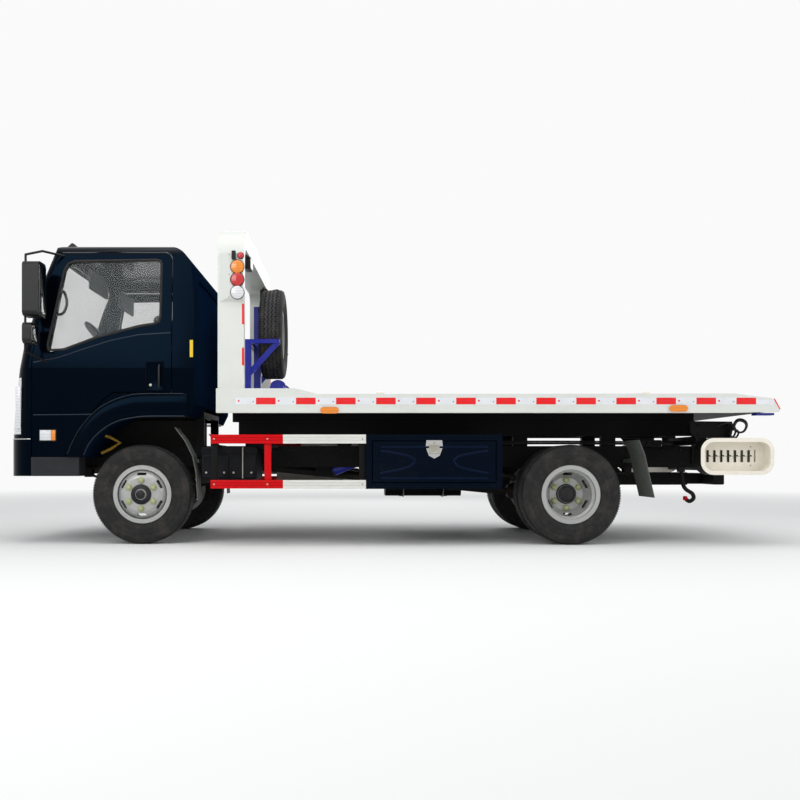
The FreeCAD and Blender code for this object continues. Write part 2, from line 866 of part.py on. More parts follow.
def exhaust():
    """Front pipe from the engine, silencer along the right rail, and a short tail pipe."""
    pipe = 28
    z = silencer_z
    front = silencer_x + silencer_length / 2
    back = silencer_x - silencer_length / 2
    inboard = -engine_half_width - 42
    route = [
        vec(engine_nose_x - engine_length + 90, -engine_half_width, z),
        vec(engine_nose_x - engine_length + 40, inboard, z),
        vec(fa - front_spring_half - 90, inboard, z), vec(front, silencer_y, z),
    ]
    pieces = [rod(vec(front, silencer_y, z), vec(back, silencer_y, z), silencer_radius)]
    for start, end in zip(route, route[1:]):
        pieces.append(rod(start, end, pipe))
        pieces.append(Part.makeSphere(pipe, end))
    tail_bend = vec(back - 130, silencer_y, z)
    pieces.append(rod(vec(back + 5, silencer_y, z), tail_bend, pipe))
    pieces.append(Part.makeSphere(pipe, tail_bend))
    pieces.append(rod(tail_bend, tail_bend + vec(-60, -90, -70), pipe))
    for x in (front - 110, back + 110):
        pieces.append(box(x - 20, x + 20, silencer_y, -frame_half_width, z + 60, z + 90))
    engine_room = box(back, engine_nose_x, -engine_half_width, 0, 0, rail_top_z)
    return fuse(pieces).cut(engine_room)


def fuel_tank():
    """Round-cornered tank on two brackets outside the right rail."""
    back = tank_front_x - tank_length
    y0 = -tank_inner_y - tank_depth
    top = tank_base_z + tank_height
    body = front_prism(rounded(y0, -tank_inner_y, tank_base_z, top, 60), back, tank_front_x)
    pieces = [body]
    for x in (tank_front_x - 150, back + 150):
        pieces.append(box(x - 25, x + 25, -tank_inner_y - 30, -frame_half_width, top - 120, top - 20))
        pieces.append(front_prism(rounded(y0 - 4, -tank_inner_y + 4, tank_base_z - 4, top + 4, 64),
                                  x - 20, x + 20))
    neck = vec(tank_front_x - 90, y0 + 110, top)
    pieces.append(rod(neck, neck + vec(0, -12, 26), 38))
    return fuse(pieces)


def battery_box():
    """Ribbed lid box outside the left rail, with its hold-down strap."""
    back = battery_front_x - battery_length
    pieces = [
        box(back, battery_front_x, battery_inner_y, battery_outer_y, battery_base_z, battery_top_z - 30),
        box(back - 6, battery_front_x + 6, battery_inner_y, battery_outer_y + 6,
            battery_top_z - 30, battery_top_z),
    ]
    mid = battery_front_x - battery_length / 2
    pieces.append(box(mid - 20, mid + 20, battery_outer_y, battery_outer_y + 12,
                      battery_base_z + 20, battery_top_z))
    for x in (back + 30, back + 210):
        pieces.append(box(x, x + 40, frame_half_width, battery_inner_y, bracket_z - 90, bracket_z - 50))
    return fuse(pieces)


def guard(back_x, post_places):
    """Left side guard: two grooved rails on posts with arms back to the frame."""
    inner = guard_outer_y - guard_depth
    pieces = []
    bands = ((guard_low_z, guard_low_height), (guard_top_z - guard_top_height, guard_top_height))
    for base, height in bands:
        body = box(back_x, guard_front_x, inner, guard_outer_y, base, base + height)
        groove = box(back_x - 1, guard_front_x + 1, guard_outer_y - 6, guard_outer_y + 1,
                     base + height / 3, base + height * 2 / 3)
        pieces.append(body.cut(groove))
    for x in post_places:
        half = guard_post_width / 2
        pieces.append(box(x - half, x + half, inner - 20, inner, guard_low_z, guard_top_z))
        pieces.append(box(x - half, x + half, frame_half_width, inner - 5,
                          bracket_z, bracket_z + bracket_height))
    return fuse(pieces)


def side_guards():
    back = toolbox_front_x
    end = guard_post_width / 2
    left_posts = (guard_front_x - end, guard_post_x, back + end)
    right_back = toolbox_front_x - toolbox_length
    right_posts = left_posts + (right_back + end,)
    return [guard(back, left_posts), mirrored(guard(right_back, right_posts))]


def toolbox():
    """Steel box open on its outer side behind the door, on two arms from the rail."""
    back = toolbox_front_x - toolbox_length
    inner = toolbox_outer_y - toolbox_depth
    top = toolbox_base_z + toolbox_height
    wall = toolbox_wall
    outer_box = box(back, toolbox_front_x, inner, toolbox_outer_y, toolbox_base_z, top)
    hollow = box(back + wall, toolbox_front_x - wall, inner + wall, toolbox_outer_y - wall,
                 toolbox_base_z + wall, top - wall)
    edge = toolbox_frame
    mouth = box(back + edge, toolbox_front_x - edge, toolbox_outer_y - wall - 1, toolbox_outer_y + 1,
                toolbox_base_z + edge, top - edge)
    pieces = [outer_box.cut(hollow).cut(mouth)]
    boss = toolbox_pin_length + 2
    low = toolbox_base_z + edge
    for x in (back + edge - boss, toolbox_front_x - edge):
        pieces.append(box(x, x + boss, toolbox_outer_y - 24, toolbox_outer_y - wall, low - 10, low + 30))
    for x in (toolbox_front_x - 200, back + 200):
        pieces.append(box(x - 30, x + 30, frame_half_width, inner, rail_top_z - rail_height + 40,
                          rail_top_z - 60))
    return fuse(pieces).cut(toolbox_pin(toolbox_pin_radius + running_fit, back + 1, toolbox_front_x - 1))


def toolbox_pin(radius, x0, x1):
    """Hinge pin or its hole along the lower edge of the toolbox's door."""
    y = toolbox_outer_y - toolbox_pin_edge
    z = toolbox_base_z + toolbox_frame + moving_gap + toolbox_pin_edge
    return rod(vec(x0, y, z), vec(x1, y, z), radius)


def toolbox_door():
    """Door in the toolbox's mouth, hinged on two pins along its lower edge."""
    gap = moving_gap
    edge = toolbox_frame + gap
    x0 = toolbox_front_x - toolbox_length + edge
    x1 = toolbox_front_x - edge
    z0 = toolbox_base_z + edge
    z1 = toolbox_base_z + toolbox_height - edge
    outer = toolbox_outer_y
    reach = gap + toolbox_pin_length
    pin = toolbox_pin(toolbox_pin_radius, x0 - reach, x1 + reach)
    return fuse([box(x0, x1, outer - toolbox_door_wall, outer, z0, z1), pin])


def strip(points, wall, y0, y1):
    """Bent plate of even thickness following points (x, z) in side view."""
    pieces = []
    for (xa, za), (xb, zb) in zip(points, points[1:]):
        length = math.hypot(xb - xa, zb - za)
        ux, uz = (zb - za) / length * wall / 2, -(xb - xa) / length * wall / 2
        pieces.append(side_prism([(xa + ux, za + uz), (xb + ux, zb + uz), (xb - ux, zb - uz),
                                  (xa - ux, za - uz)], y0, y1))
    for x, z in points[1:-1]:
        pieces.append(rod(vec(x, y0, z), vec(x, y1, z), wall / 2))
    return fuse(pieces)


def mudguards():
    """Bent guards with flaps behind each wheel, on arms from the frame."""
    front = [
        (fa - 262, 915), (fa - 340, 810), (fa - 400, 690), (fa - 427, 560), (fa - 440, 343),
    ]
    rear = [
        (ra - 530, 817), (ra - 575, 700), (ra - 605, 560), (ra - 650, 366),
    ]
    front_inner = front_wheel_y - tyre_width / 2 + 10
    rear_inner = rear_inner_wheel_y - tyre_width / 2
    pieces = []
    front_guard = fuse([
        strip(front, mudguard_wall, front_inner, front_wheel_y + tyre_width / 2),
        box(fa - 428, fa - 404, frame_half_width, front_inner + 60, 640, 664),
    ])
    rear_guard = fuse([
        strip(rear, mudguard_wall, rear_inner, rear_outer_wheel_y + tyre_width / 2 - 20),
        box(ra - 620, ra - 580, frame_half_width, rear_inner + 200, 640, 670),
    ])
    for piece in (front_guard, rear_guard):
        pieces += both_sides(piece)
    return pieces


def lever_box():
    """Left valve lever box: deep rounded rim round a plate with a row of upright slots."""
    x0 = lever_box_tail_x
    x1 = x0 + lever_box_length
    z0 = lever_box_base_z
    z1 = z0 + lever_box_height
    rim_edge = lever_box_rim
    y0 = lever_box_outer_y - lever_box_depth
    body = side_prism(rounded(x0, x1, z0, z1, 100), y0, lever_box_outer_y)
    bottom = lever_box_outer_y - lever_box_recess
    recess = side_prism(rounded(x0 + rim_edge, x1 - rim_edge, z0 + rim_edge, z1 - rim_edge, 72),
                        bottom, lever_box_outer_y + 1)
    slots = []
    first = x1 - rim_edge - 55
    mid = (z0 + z1) / 2 + 4
    for index in range(lever_slot_count):
        x = first - index * lever_slot_pitch
        slots.append(box(x - lever_slot_width / 2, x + lever_slot_width / 2, bottom - 30, bottom + 1,
                         mid - lever_slot_height / 2, mid + lever_slot_height / 2))
    return body.cut(recess).cut(Part.makeCompound(slots))


def rear_bumper():
    """Cross beam behind the frame, on two stubs, between the lever boxes."""
    x0 = bumper_beam_tail_x
    x1 = x0 + bumper_beam_depth
    reach = lever_box_outer_y - lever_box_depth
    z0 = bumper_beam_z
    pieces = [beam_across(x0, x1, reach, z0, z0 + bumper_beam_height)]
    for side in (-1, 1):
        pieces.append(box(x1 - 5, frame_tail_x, side * 300, side * 360, z0 + 40, z0 + 120))
    return fuse(pieces)


def beam_across(x0, x1, reach, z0, z1):
    return side_prism(rounded(x0, x1, z0, z1, 18), -reach, reach)


def tail_lamp():
    """Left lamp unit on the rear face of the bumper beam."""
    x1 = bumper_beam_tail_x
    y1 = lever_box_outer_y - lever_box_depth - 40
    z0 = bumper_beam_z + (bumper_beam_height - tail_lamp_height) / 2
    return front_prism(rounded(y1 - tail_lamp_width, y1, z0, z0 + tail_lamp_height, 20), x1 - 38, x1)


def lift_boom():
    """Outer boom of the underlift: a square tube hung on its pin, open at the tail."""
    half = lift_boom_width / 2
    half_height = lift_boom_height / 2
    wall = lift_boom_wall
    nose = lift_pivot_x + 45
    body = box(lift_boom_tail_x, nose, -half, half, lift_pivot_z - half_height, lift_pivot_z + half_height)
    hollow = box(lift_boom_tail_x - 1, lift_pivot_x - 60, wall - half, half - wall,
                 lift_pivot_z - half_height + wall, lift_pivot_z + half_height - wall)
    hole = rod(vec(lift_pivot_x, -half - 1, lift_pivot_z), vec(lift_pivot_x, half + 1, lift_pivot_z),
               20 + running_fit)
    return cut(body, [hollow, hole])


def lift_arm():
    """Inner boom that slides out to the rear, with the cross bar at its end."""
    half = lift_boom_width / 2 - lift_boom_wall - seat_gap
    half_height = lift_boom_height / 2 - lift_boom_wall - seat_gap
    z0 = lift_pivot_z - half_height
    z1 = lift_pivot_z + half_height
    reach = lift_cross_length / 2
    arm = fuse([
        box(lift_arm_tail_x + 40, lift_pivot_x - 75, -half, half, z0, z1),
        side_prism(rounded(lift_arm_tail_x, lift_arm_tail_x + 90, z0, z1, 12), -reach, reach),
    ])
    hitch_x = lift_arm_tail_x + 45
    return arm.cut(rod(vec(hitch_x, 0, z0 - 1), vec(hitch_x, 0, z1 + 1), hitch_hole_radius))


def make_chassis():
    save("chassis_frame", [chassis_frame()])
    save("engine_block", [engine_block()])
    save("exhaust", [exhaust()])
    save("fuel_tank", [fuel_tank()])
    save("battery_box", [battery_box()])
    save("side_guards", side_guards())
    save("toolbox", [toolbox()])
    save("toolbox_door", [toolbox_door()])
    save("mudguards", mudguards())
    save("lever_boxes", both_sides(lever_box()))
    save("rear_bumper", [rear_bumper()])
    save("tail_lamps", both_sides(tail_lamp()))
    save("lift_boom", [lift_boom()])
    save("lift_arm", [lift_arm()])


def cab_section(z, front, half, corner, bow, inset):
    """Plan outline of the cab at one height: bowed front, round corners, long straight sides."""
    front = fa + front - inset
    half = half - inset
    corner = corner - inset
    back = cab_back_x - 400
    bend = corner * (1 - math.sqrt(0.5))
    edge = front - bow
    points = [
        (back, -half), (edge - corner, -half), (edge - bend, bend - half, "arc"),
        (edge, corner - half), (front, 0, "arc"), (edge, half - corner),
        (edge - bend, half - bend, "arc"), (edge - corner, half), (back, half),
    ]
    face = outline_face(points, lambda a, b: vec(a, b, z))
    return face.OuterWire


def cab_form(inset):
    """The cab's outer form shrunk by inset, as one solid: lofted plan, side view, roof edges."""
    sections = [
        (450, 1075, cab_half_width, 170, 30), (900, 1071, cab_half_width, 170, 30),
        (1140, 1052, cab_half_width, 170, 30), (1380, 1004, cab_half_width, 112, 28),
        (1524, 972, cab_half_width - 5, 98, 26), (2059, 812, cab_half_width - 30, 64, 22),
        (2450, 654, cab_half_width - cab_lean, 64, 20),
    ]
    wires = [cab_section(*section, inset) for section in sections]
    body = Part.makeLoft(wires, True, True)
    wide = cab_half_width + 100
    side = outline_face([
        (fa + 1300, cab_nose_base_z), (door_front_x, cab_nose_base_z), (door_front_x, cab_sill_z),
        (arch_front_x, cab_sill_z), (fa + 330, 872, "arc"), (arch_crown_x, arch_top_z),
        (cab_back_x + 48, arch_top_z), (cab_back_x, arch_top_z + 97),
        (cab_back_x, 1900), (cab_back_x + 26, 2170), (cab_back_x + 92, 2298, "arc"),
        (cab_back_x + 230, 2364), (fa + 150, roof_z, "arc"), (fa + 500, 2376),
        (fa + 620, 2360, "arc"), (fa + 712, 2325), (fa + 1300, 2325),
    ], lambda a, b: vec(a, -wide, b))
    top = outline_face([
        (-wide, 400), (wide, 400), (wide, 1900), (cab_half_width - 35, 2205),
        (cab_half_width - 63, 2310, "arc"), (cab_half_width - 170, 2360),
        (0, roof_z + 8, "arc"), (170 - cab_half_width, 2360),
        (63 - cab_half_width, 2310, "arc"), (35 - cab_half_width, 2205), (-wide, 1900),
    ], lambda a, b: vec(cab_back_x - 300, a, b))
    if inset:
        side = side.makeOffset2D(-inset, 0)
        top = top.makeOffset2D(-inset, 0)
    return body.common(side.extrude(vec(0, 2 * wide, 0))).common(top.extrude(vec(2200, 0, 0)))


def door_outline(grow):
    """Left door's outline in side view, grown all round by grow."""
    face = outline_face([
        (door_front_x - 7, cab_sill_z + 3), (fa + 592, cab_sill_z + 3), (fa + 485, 858),
        (fa + 405, 1008), (fa + 288, 1140), (fa + 215, 1192), (door_back_x, 1192),
        (door_back_x, door_top_z - 60), (door_back_x + 17, door_top_z - 17, "arc"),
        (door_back_x + 60, door_top_z), (fa + 640, door_top_z), (fa + 683, door_top_z - 17, "arc"),
        (fa + 712, door_top_z - 60), (fa + 838, 1510), (door_front_x - 7, 1430),
    ], lambda a, b: vec(a, 0, b))
    if grow:
        face = face.makeOffset2D(grow, 2)
    return face


def glass_outline(grow):
    """Left door's window in side view, its sill stepping down towards the nose."""
    face = outline_face([
        (fa + 721, 1530), (fa + 735, 1508), (fa + 700, 1507), (fa + 603, 1524),
        (fa + 330, 1626), (fa + 14, 1709), (fa - 104, 1725), (fa - 143, 1737),
        (fa - 150, 1775), (fa - 159, 2200), (fa - 148, 2228), (fa - 120, 2232),
        (fa + 520, 2222), (fa + 575, 2202), (fa + 604, 2150),
    ], lambda a, b: vec(a, 0, b))
    if grow:
        face = face.makeOffset2D(grow, 2)
    return face


def side_reach(face):
    """Prism of a side outline, from behind the left door's wall out past the cab's side."""
    face.translate(vec(0, cab_half_width - cab_lean - door_wall - 10, 0))
    return face.extrude(vec(0, cab_lean + door_wall + 60, 0))


def cab_layer(prism, depth, wall):
    """Part of the cab's skin inside a prism, from depth inwards by wall."""
    return cab_form(depth).common(prism).cut(cab_form(depth + wall))


def windscreen_prism(grow):
    half = windscreen_half_width + grow
    base, top = windscreen_base_z - grow, windscreen_top_z + grow
    outline = rounded(-half, half, base, top, 90)
    return front_prism(outline, fa + 560, fa + 1150)


def rear_window_prism(grow):
    half = rear_window_half_width + grow
    outline = rounded(-half, half, rear_window_base_z - grow, rear_window_top_z + grow, 50)
    return front_prism(outline, cab_back_x - 60, cab_back_x + 120)


def lamp_prism(grow):
    """Left headlamp seen from in front: tall, with its inner edge leaning outboard."""
    y0, y1 = lamp_inner_y - grow, cab_half_width + 60
    z0, z1 = lamp_base_z - grow, lamp_top_z + grow
    outline = [(y0 + 40, z0), (y1, z0), (y1, z1), (y0 + 110, z1), (y0 + 20, z1 - 190), (y0, z0 + 60)]
    return front_prism(outline, lamp_back_x - grow, fa + 1150)


def tunnel(grow):
    """Space over the frame, engine and gearbox under the cab floor."""
    half = tunnel_half_width + grow
    nose = fa + 1000 + grow
    return side_prism([
        (cab_back_x - 80, 600), (cab_back_x - 80, tunnel_top_z + grow),
        (tunnel_step_x + grow, tunnel_top_z + grow), (tunnel_step_x + grow, tunnel_nose_z + grow),
        (nose, tunnel_nose_z + grow), (nose, 600),
    ], -half, half)


def flare():
    """Left wheel-arch flare, a raised band from the sill up and back over the wheel."""
    band = side_prism([
        (fa + 580, cab_sill_z), (fa + 475, 850), (fa + 395, 1000), (fa + 280, 1130), (fa + 205, 1182),
        (cab_back_x + 48, 1144), (cab_back_x + 48, arch_top_z), (arch_crown_x, arch_top_z),
        (fa + 330, 872, "arc"), (arch_front_x, cab_sill_z),
    ], cab_half_width - cab_wall, cab_half_width + flare_reach)
    return band


def cab_hinge_ear():
    """Left ear under the cab floor, bored for the frame's hinge pin."""
    y0 = frame_half_width + 15
    plate = side_prism([
        (cab_pivot_x - 40, tunnel_nose_z + 10), (cab_pivot_x - 36, cab_pivot_z),
        (cab_pivot_x, cab_pivot_z - 36, "arc"), (cab_pivot_x + 36, cab_pivot_z),
        (cab_pivot_x + 38, tunnel_nose_z + 10),
    ], y0, y0 + 22)
    hole = rod(vec(cab_pivot_x, y0 - 1, cab_pivot_z), vec(cab_pivot_x, y0 + 23, cab_pivot_z),
               16 + running_fit)
    return plate.cut(hole)


def cab_shell(outer, inner):
    """Hollow cab with its floor and tunnel; doors, windows and lamp seats are cut out."""
    body = outer.cut(inner)
    body = fuse([body, tunnel(tunnel_wall).common(outer)])
    body = body.cut(tunnel(0))
    body = fuse([body] + both_sides(flare()))
    opening = side_reach(door_outline(moving_gap))
    lamp_seat = cab_layer(lamp_prism(0), 0, lamp_depth)
    tools = both_sides(opening) + both_sides(lamp_seat)
    tools += [windscreen_prism(0), rear_window_prism(0)]
    body = cut(body, tools)
    return fuse([body] + both_sides(cab_hinge_ear()))


def door():
    """Left door: a thin flange round a thicker pan, with the window cut out and a handle recess."""
    flange = cab_layer(side_reach(door_outline(0)), 0, door_flange_wall)
    panel = fuse([flange, cab_layer(side_reach(door_outline(-door_flange_width)), 0, door_wall)])
    panel = panel.cut(box(arch_front_x, arch_front_x + 200, 0, cab_half_width - door_flange_wall,
                          cab_sill_z, cab_sill_z + door_flange_width))
    panel = panel.cut(side_reach(glass_outline(0)))
    x0, x1 = fa - 177, fa - 44
    recess = side_prism(rounded(x0, x1, 1206, 1425, 18), cab_half_width - 22, cab_half_width + 5)
    panel = panel.cut(recess)
    bar = side_prism(rounded(x0 + 20, x0 + 48, 1216, 1415, 12), cab_half_width - 24, cab_half_width - 2)
    return fuse([panel, bar])


def door_glass():
    """Left door glass, set into the door's thickness."""
    return cab_layer(side_reach(glass_outline(-seat_gap)), glass_depth, glass_wall)


def cab_glass():
    """Windscreen and rear window."""
    prisms = [windscreen_prism(-seat_gap), rear_window_prism(-seat_gap)]
    return [cab_layer(prism, glass_depth, glass_wall) for prism in prisms]


def headlamp():
    return cab_layer(lamp_prism(-seat_gap), 0, lamp_depth - seat_gap)


def roof_lamp(outer, y):
    """Wedge clearance lamp standing on the front of the roof."""
    x0, x1 = fa + 522, fa + 606
    wedge = side_prism([(x0, 2330), (x1, 2330), (x1 - 2, 2372), (x0 + 30, 2404), (x0, 2406)], y - 30, y + 30)
    return wedge.cut(moved(outer, 0, 0, seat_gap))


def front_bumper():
    """Deep bumper wrapped round the cab's lower corners, hollow behind."""
    top = cab_nose_base_z - seat_gap
    section = (1075, cab_half_width, 170, 30)
    outer = Part.Face(cab_section(bumper_base_z, *section, 0)).extrude(vec(0, 0, top - bumper_base_z))
    inner = Part.Face(cab_section(bumper_base_z, *section, bumper_wall)).extrude(vec(0, 0, 400))
    limit = box(bumper_back_x + seat_gap, fa + 1200, -1200, 1200, 0, 1500)
    body = outer.cut(moved(inner, 0, 0, -60)).common(limit)
    grille_outline = rounded(-420, 420, bumper_base_z + 50, bumper_base_z + 150, 30)
    grille = front_prism(grille_outline, fa + 1000, fa + 1100)
    fog = front_prism(rounded(600, 780, bumper_base_z + 50, bumper_base_z + 160, 40), fa + 1035, fa + 1100)
    return cut(body, [grille] + both_sides(fog))


def cab_step():
    """Left step between bumper and wheel, open on its outer side for the foot."""
    top = cab_sill_z - seat_gap
    body = box(step_back_x, bumper_back_x, step_inner_y, cab_half_width, bumper_base_z, top)
    foot = box(step_back_x + 35, bumper_back_x - 35, step_inner_y + 30, cab_half_width + 5,
               bumper_base_z + 40, top - 30)
    return body.cut(foot)


def dashboard():
    """Dashboard across the cab with the steering column and wheel."""
    outline = [(fa + 1000, 1190), (fa + 720, 1190), (fa + 650, 1270), (fa + 655, 1390),
               (fa + 730, 1450), (fa + 1000, 1485)]
    limit = door_wall + 20
    body = cab_form(cab_wall + seat_gap).common(
        side_prism(outline, limit - cab_half_width, cab_half_width - limit))
    hub = vec(fa + 410, 480, 1640)
    foot = vec(fa + 700, 480, 1380)
    along = (hub - foot).normalize()
    ring = Part.makeTorus(212, 15, hub, along)
    pieces = [body, rod(foot, hub - along * 30, 32), ring, rod(hub - along * 40, hub - along * 8, 60)]
    across = along.cross(Y_AXIS)
    for spoke in (Y_AXIS * 205, Y_AXIS * -205, across * 205, across * -205):
        pieces.append(rod(hub - along * 25, hub + spoke, 10))
    return fuse(pieces)


def seat(y0, y1, base_y0, base_y1):
    """Seat with cushion, leaning back and a base on the tunnel."""
    floor = tunnel_top_z + tunnel_wall + seat_gap
    cushion = side_prism([
        (fa - 110, floor + 85), (fa + 400, floor + 85), (fa + 440, floor + 150), (fa + 425, floor + 225),
        (fa + 300, floor + 240, "arc"), (fa - 60, floor + 215),
    ], y0, y1)
    back = side_prism([
        (fa - 150, floor + 160), (fa - 30, floor + 160), (fa - 150, floor + 700),
        (fa - 200, floor + 735, "arc"), (fa - 250, floor + 700),
    ], y0, y1)
    base = box(fa - 60, fa + 360, base_y0, base_y1, floor, floor + 90)
    return [cushion, back, base]


def headrest(y):
    floor = tunnel_top_z + tunnel_wall + seat_gap
    rest = side_prism(rounded(fa - 270, fa - 185, floor + 740, floor + 900, 35), y - 130, y + 130)
    return [rest, rod(vec(fa - 225, y, floor + 690), vec(fa - 225, y, floor + 750), 10)]


def seats():
    driver = seat(240, 740, 260, 460) + headrest(490)
    bench = seat(-780, 170, -460, 150) + headrest(-540) + headrest(-60)
    return [fuse(driver), fuse(bench)]


def mirror(outer):
    """Left mirror: tube arm from the door round to a tall main head and a small head below."""
    route = [
        vec(fa + 610, cab_half_width - 42, 2262), vec(fa + 720, cab_half_width + 135, 2262),
        vec(fa + 832, cab_half_width + 185, 2225), vec(fa + 836, cab_half_width + 185, 1490),
        vec(fa + 735, cab_half_width - 3, 1425),
    ]
    tube = 9
    pieces = [Part.makeSphere(tube, corner) for corner in route[1:-1]]
    for start, end in zip(route, route[1:]):
        pieces.append(rod(start, end, tube))
    y0, y1 = cab_half_width + 95, cab_half_width + 275
    heads = ((fa + 705, fa + 829, 1748, 2162), (fa + 762, fa + 829, 1540, 1700))
    for x0, x1, z0, z1 in heads:
        pieces.append(front_prism(rounded(y0, y1, z0, z1, 38), x0, x1))
    return fuse(pieces).cut(moved(outer, 0, seat_gap, 0))


def cab_front_grille():
    """Dark panel between the headlamps under the windscreen."""
    outline = rounded(12 - lamp_inner_y, lamp_inner_y - 12, 905, 1120, 40)
    return cab_layer(front_prism(outline, fa + 900, fa + 1150), -grille_reach, grille_reach)


def make_cab():
    outer = cab_form(0)
    inner = cab_form(cab_wall)
    save("cab_shell", [cab_shell(outer, inner)])
    left_door = door()
    save("door_left", [left_door])
    save("door_right", [mirrored(left_door)])
    pane = door_glass()
    save("door_glass_left", [pane])
    save("door_glass_right", [mirrored(pane)])
    save("cab_glass", cab_glass())
    save("headlamps", both_sides(headlamp()))
    save("roof_lamps", both_sides(roof_lamp(outer, 600)))
    save("front_grille", [cab_front_grille()])
    save("front_bumper", [front_bumper()])
    save("cab_steps", both_sides(cab_step()))
    save("dashboard", [dashboard()])
    save("seats", seats())
    arm = mirror(outer)
    save("mirror_left", [arm])
    save("mirror_right", [mirrored(arm)])


def tilt_crossmembers():
    return [tilt_front_x - 70, fa - 1300, ram_eye_x - 210, fa - 3150, fa - 3750, tilt_pivot_x + 60]


def tilt_frame():
    """Two channels on the frame's blocks, hinged at the tail, with cross pieces and ram cheeks."""
    outer = tilt_half_width
    inner = outer - rail_flange
    z0, z1 = tilt_bottom_z, tilt_bottom_z + tilt_height
    wall = rail_wall
    left = front_prism([
        (outer, z0), (outer, z1), (inner, z1), (inner, z1 - wall), (outer - wall, z1 - wall),
        (outer - wall, z0 + wall), (inner, z0 + wall), (inner, z0),
    ], tilt_pivot_x - 50, tilt_front_x)
    boss = box(tilt_pivot_x - 50, tilt_pivot_x + 50, inner, outer, z0, z1)
    pieces = both_sides(fuse([left, boss]))
    for x in tilt_crossmembers():
        pieces.append(box(x, x + 70, wall - outer, outer - wall, z0 + 10, z1 - 10))
    for side in (-1, 1):
        for y in (side * ram_y - ram_foot_half - 18, side * ram_y + ram_foot_half + 8):
            pieces.append(box(ram_eye_x - 205, ram_eye_x + 42, y, y + 10, ram_eye_z - 38, ram_eye_z + 40))
    anchor_x = tilt_front_x - 70
    pieces.append(box(anchor_x, anchor_x + 50, -42, 42, z1 - 20, slide_cylinder_z + 28))
    bore = tilt_pin_radius + running_fit
    holes = [
        rod(vec(tilt_pivot_x, side * (inner - 5), tilt_pivot_z),
            vec(tilt_pivot_x, side * (outer + 5), tilt_pivot_z), bore)
        for side in (-1, 1)
    ]
    return cut(fuse(pieces), holes)


def slide_rod():
    """Rod of the bed's slide cylinder, held at its front end by the tilt frame."""
    x1 = tilt_front_x - 70
    x0 = x1 - slide_stroke - 300
    return rod(vec(x1, 0, slide_cylinder_z), vec(x0, 0, slide_cylinder_z), slide_rod_radius)


def slide_barrel():
    """Barrel of the slide cylinder, hung under the bed's cross beams."""
    mouth = tilt_front_x - 160
    back = tilt_front_x - 70 - slide_stroke - 360
    z = slide_cylinder_z
    pieces = [rod(vec(mouth, 0, z), vec(back, 0, z), slide_barrel_radius)]
    for x in cross_beams():
        if back + 100 < x < mouth - 100:
            pieces.append(box(x + 5, x + 45, -30, 30, z, cross_beam_base()))
    bore = rod(vec(mouth + 1, 0, z), vec(back + 20, 0, z), slide_rod_radius + running_fit)
    return fuse(pieces).cut(bore)


def cross_beams():
    """Front faces of the bed's cross beams, evenly spread from nose to tail."""
    span = bed_front_x - 60 - tail_taper_x
    count = int(span // cross_beam_pitch)
    return [bed_front_x - 60 - index * span / count for index in range(count + 1)]


def cross_beam_base():
    return deck_top_z - deck_wall - cross_beam_height


def side_rail():
    """Left side rail of the bed, a folded channel raised at the front and tapered at the tail."""
    outer = bed_half_width
    inner = outer - side_rail_wall
    body = side_prism([
        (bed_front_x, bed_bottom_z), (bed_front_x, raised_cap_z), (raised_back_x, raised_cap_z),
        (raised_foot_x, rail_cap_z), (tail_taper_x, rail_cap_z + 4), (tail_x + 44, tail_top_z),
        (tail_x, tail_bottom_z), (tail_x + 12, tail_bottom_z - 20), (tail_taper_x, bed_bottom_z),
    ], inner, outer)
    pocket = box(bed_front_x - 8, tail_taper_x + 40, inner - 1, outer - 6, bed_bottom_z + 6,
                 deck_top_z - deck_wall - 8)
    return body.cut(pocket)


def bed_deck():
    """Deck plate on cross beams and two long beams, between the side rails."""
    inner = bed_half_width - side_rail_wall
    plate_z = deck_top_z - deck_wall
    pieces = both_sides(side_rail())
    pieces.append(box(tail_taper_x, bed_front_x, -inner, inner, plate_z, deck_top_z))
    pieces.append(side_prism([
        (tail_taper_x, plate_z), (tail_taper_x, deck_top_z), (tail_x + 22, tail_bottom_z + 15),
        (tail_x + 22, tail_bottom_z - 12),
    ], -inner, inner))
    pieces.append(box(bed_front_x - 8, bed_front_x, -inner, inner, cross_beam_base(), deck_top_z))
    for x in cross_beams():
        pieces.append(box(x, x + 50, -inner, inner, cross_beam_base(), plate_z))
    y0, y1 = tilt_half_width - rail_flange, tilt_half_width
    beam_base = tilt_bottom_z + tilt_height + rest_gap
    for side in (-1, 1):
        pieces.append(box(tail_taper_x + 30, bed_front_x - 20, side * y0, side * y1, beam_base, plate_z))
    return fuse(pieces)


def headboard():
    """Open arch on the front of the deck with a lamp box on the outside of each post."""
    outer = head_outer_y
    inner = outer - head_wall
    top = head_top_z
    under = top - head_beam_height
    corner = head_corner
    bend = corner * (1 - math.sqrt(0.5))
    small = 100
    small_bend = small * (1 - math.sqrt(0.5))
    right_half = [
        (outer, deck_top_z), (outer, top - corner), (outer - bend, top - bend, "arc"),
        (outer - corner, top), (0, top), (0, under), (inner - small, under),
        (inner - small_bend, under - small_bend, "arc"), (inner, under - small), (inner, deck_top_z),
    ]
    back = head_front_x - head_depth
    half = front_prism(right_half, back, head_front_x)
    box_front = head_front_x - 14
    lamp_box = plan_prism([
        (box_front, outer), (box_front - 68, outer + lamp_box_reach), (back, outer + lamp_box_reach),
        (back, outer),
    ], lamp_box_base_z, lamp_box_top_z)
    slope = side_to_slope(back)
    half = fuse([half, lamp_box.cut(slope)])
    return fuse(both_sides(half))


def side_to_slope(back):
    """Wedge that slopes the lamp box's underside up towards its outer edge."""
    outer = head_outer_y
    return front_prism([
        (outer, lamp_box_base_z - 1), (outer + lamp_box_reach + 1, lamp_box_base_z - 1),
        (outer + lamp_box_reach + 1, lamp_box_base_z + 24),
    ], back - 1, head_front_x)


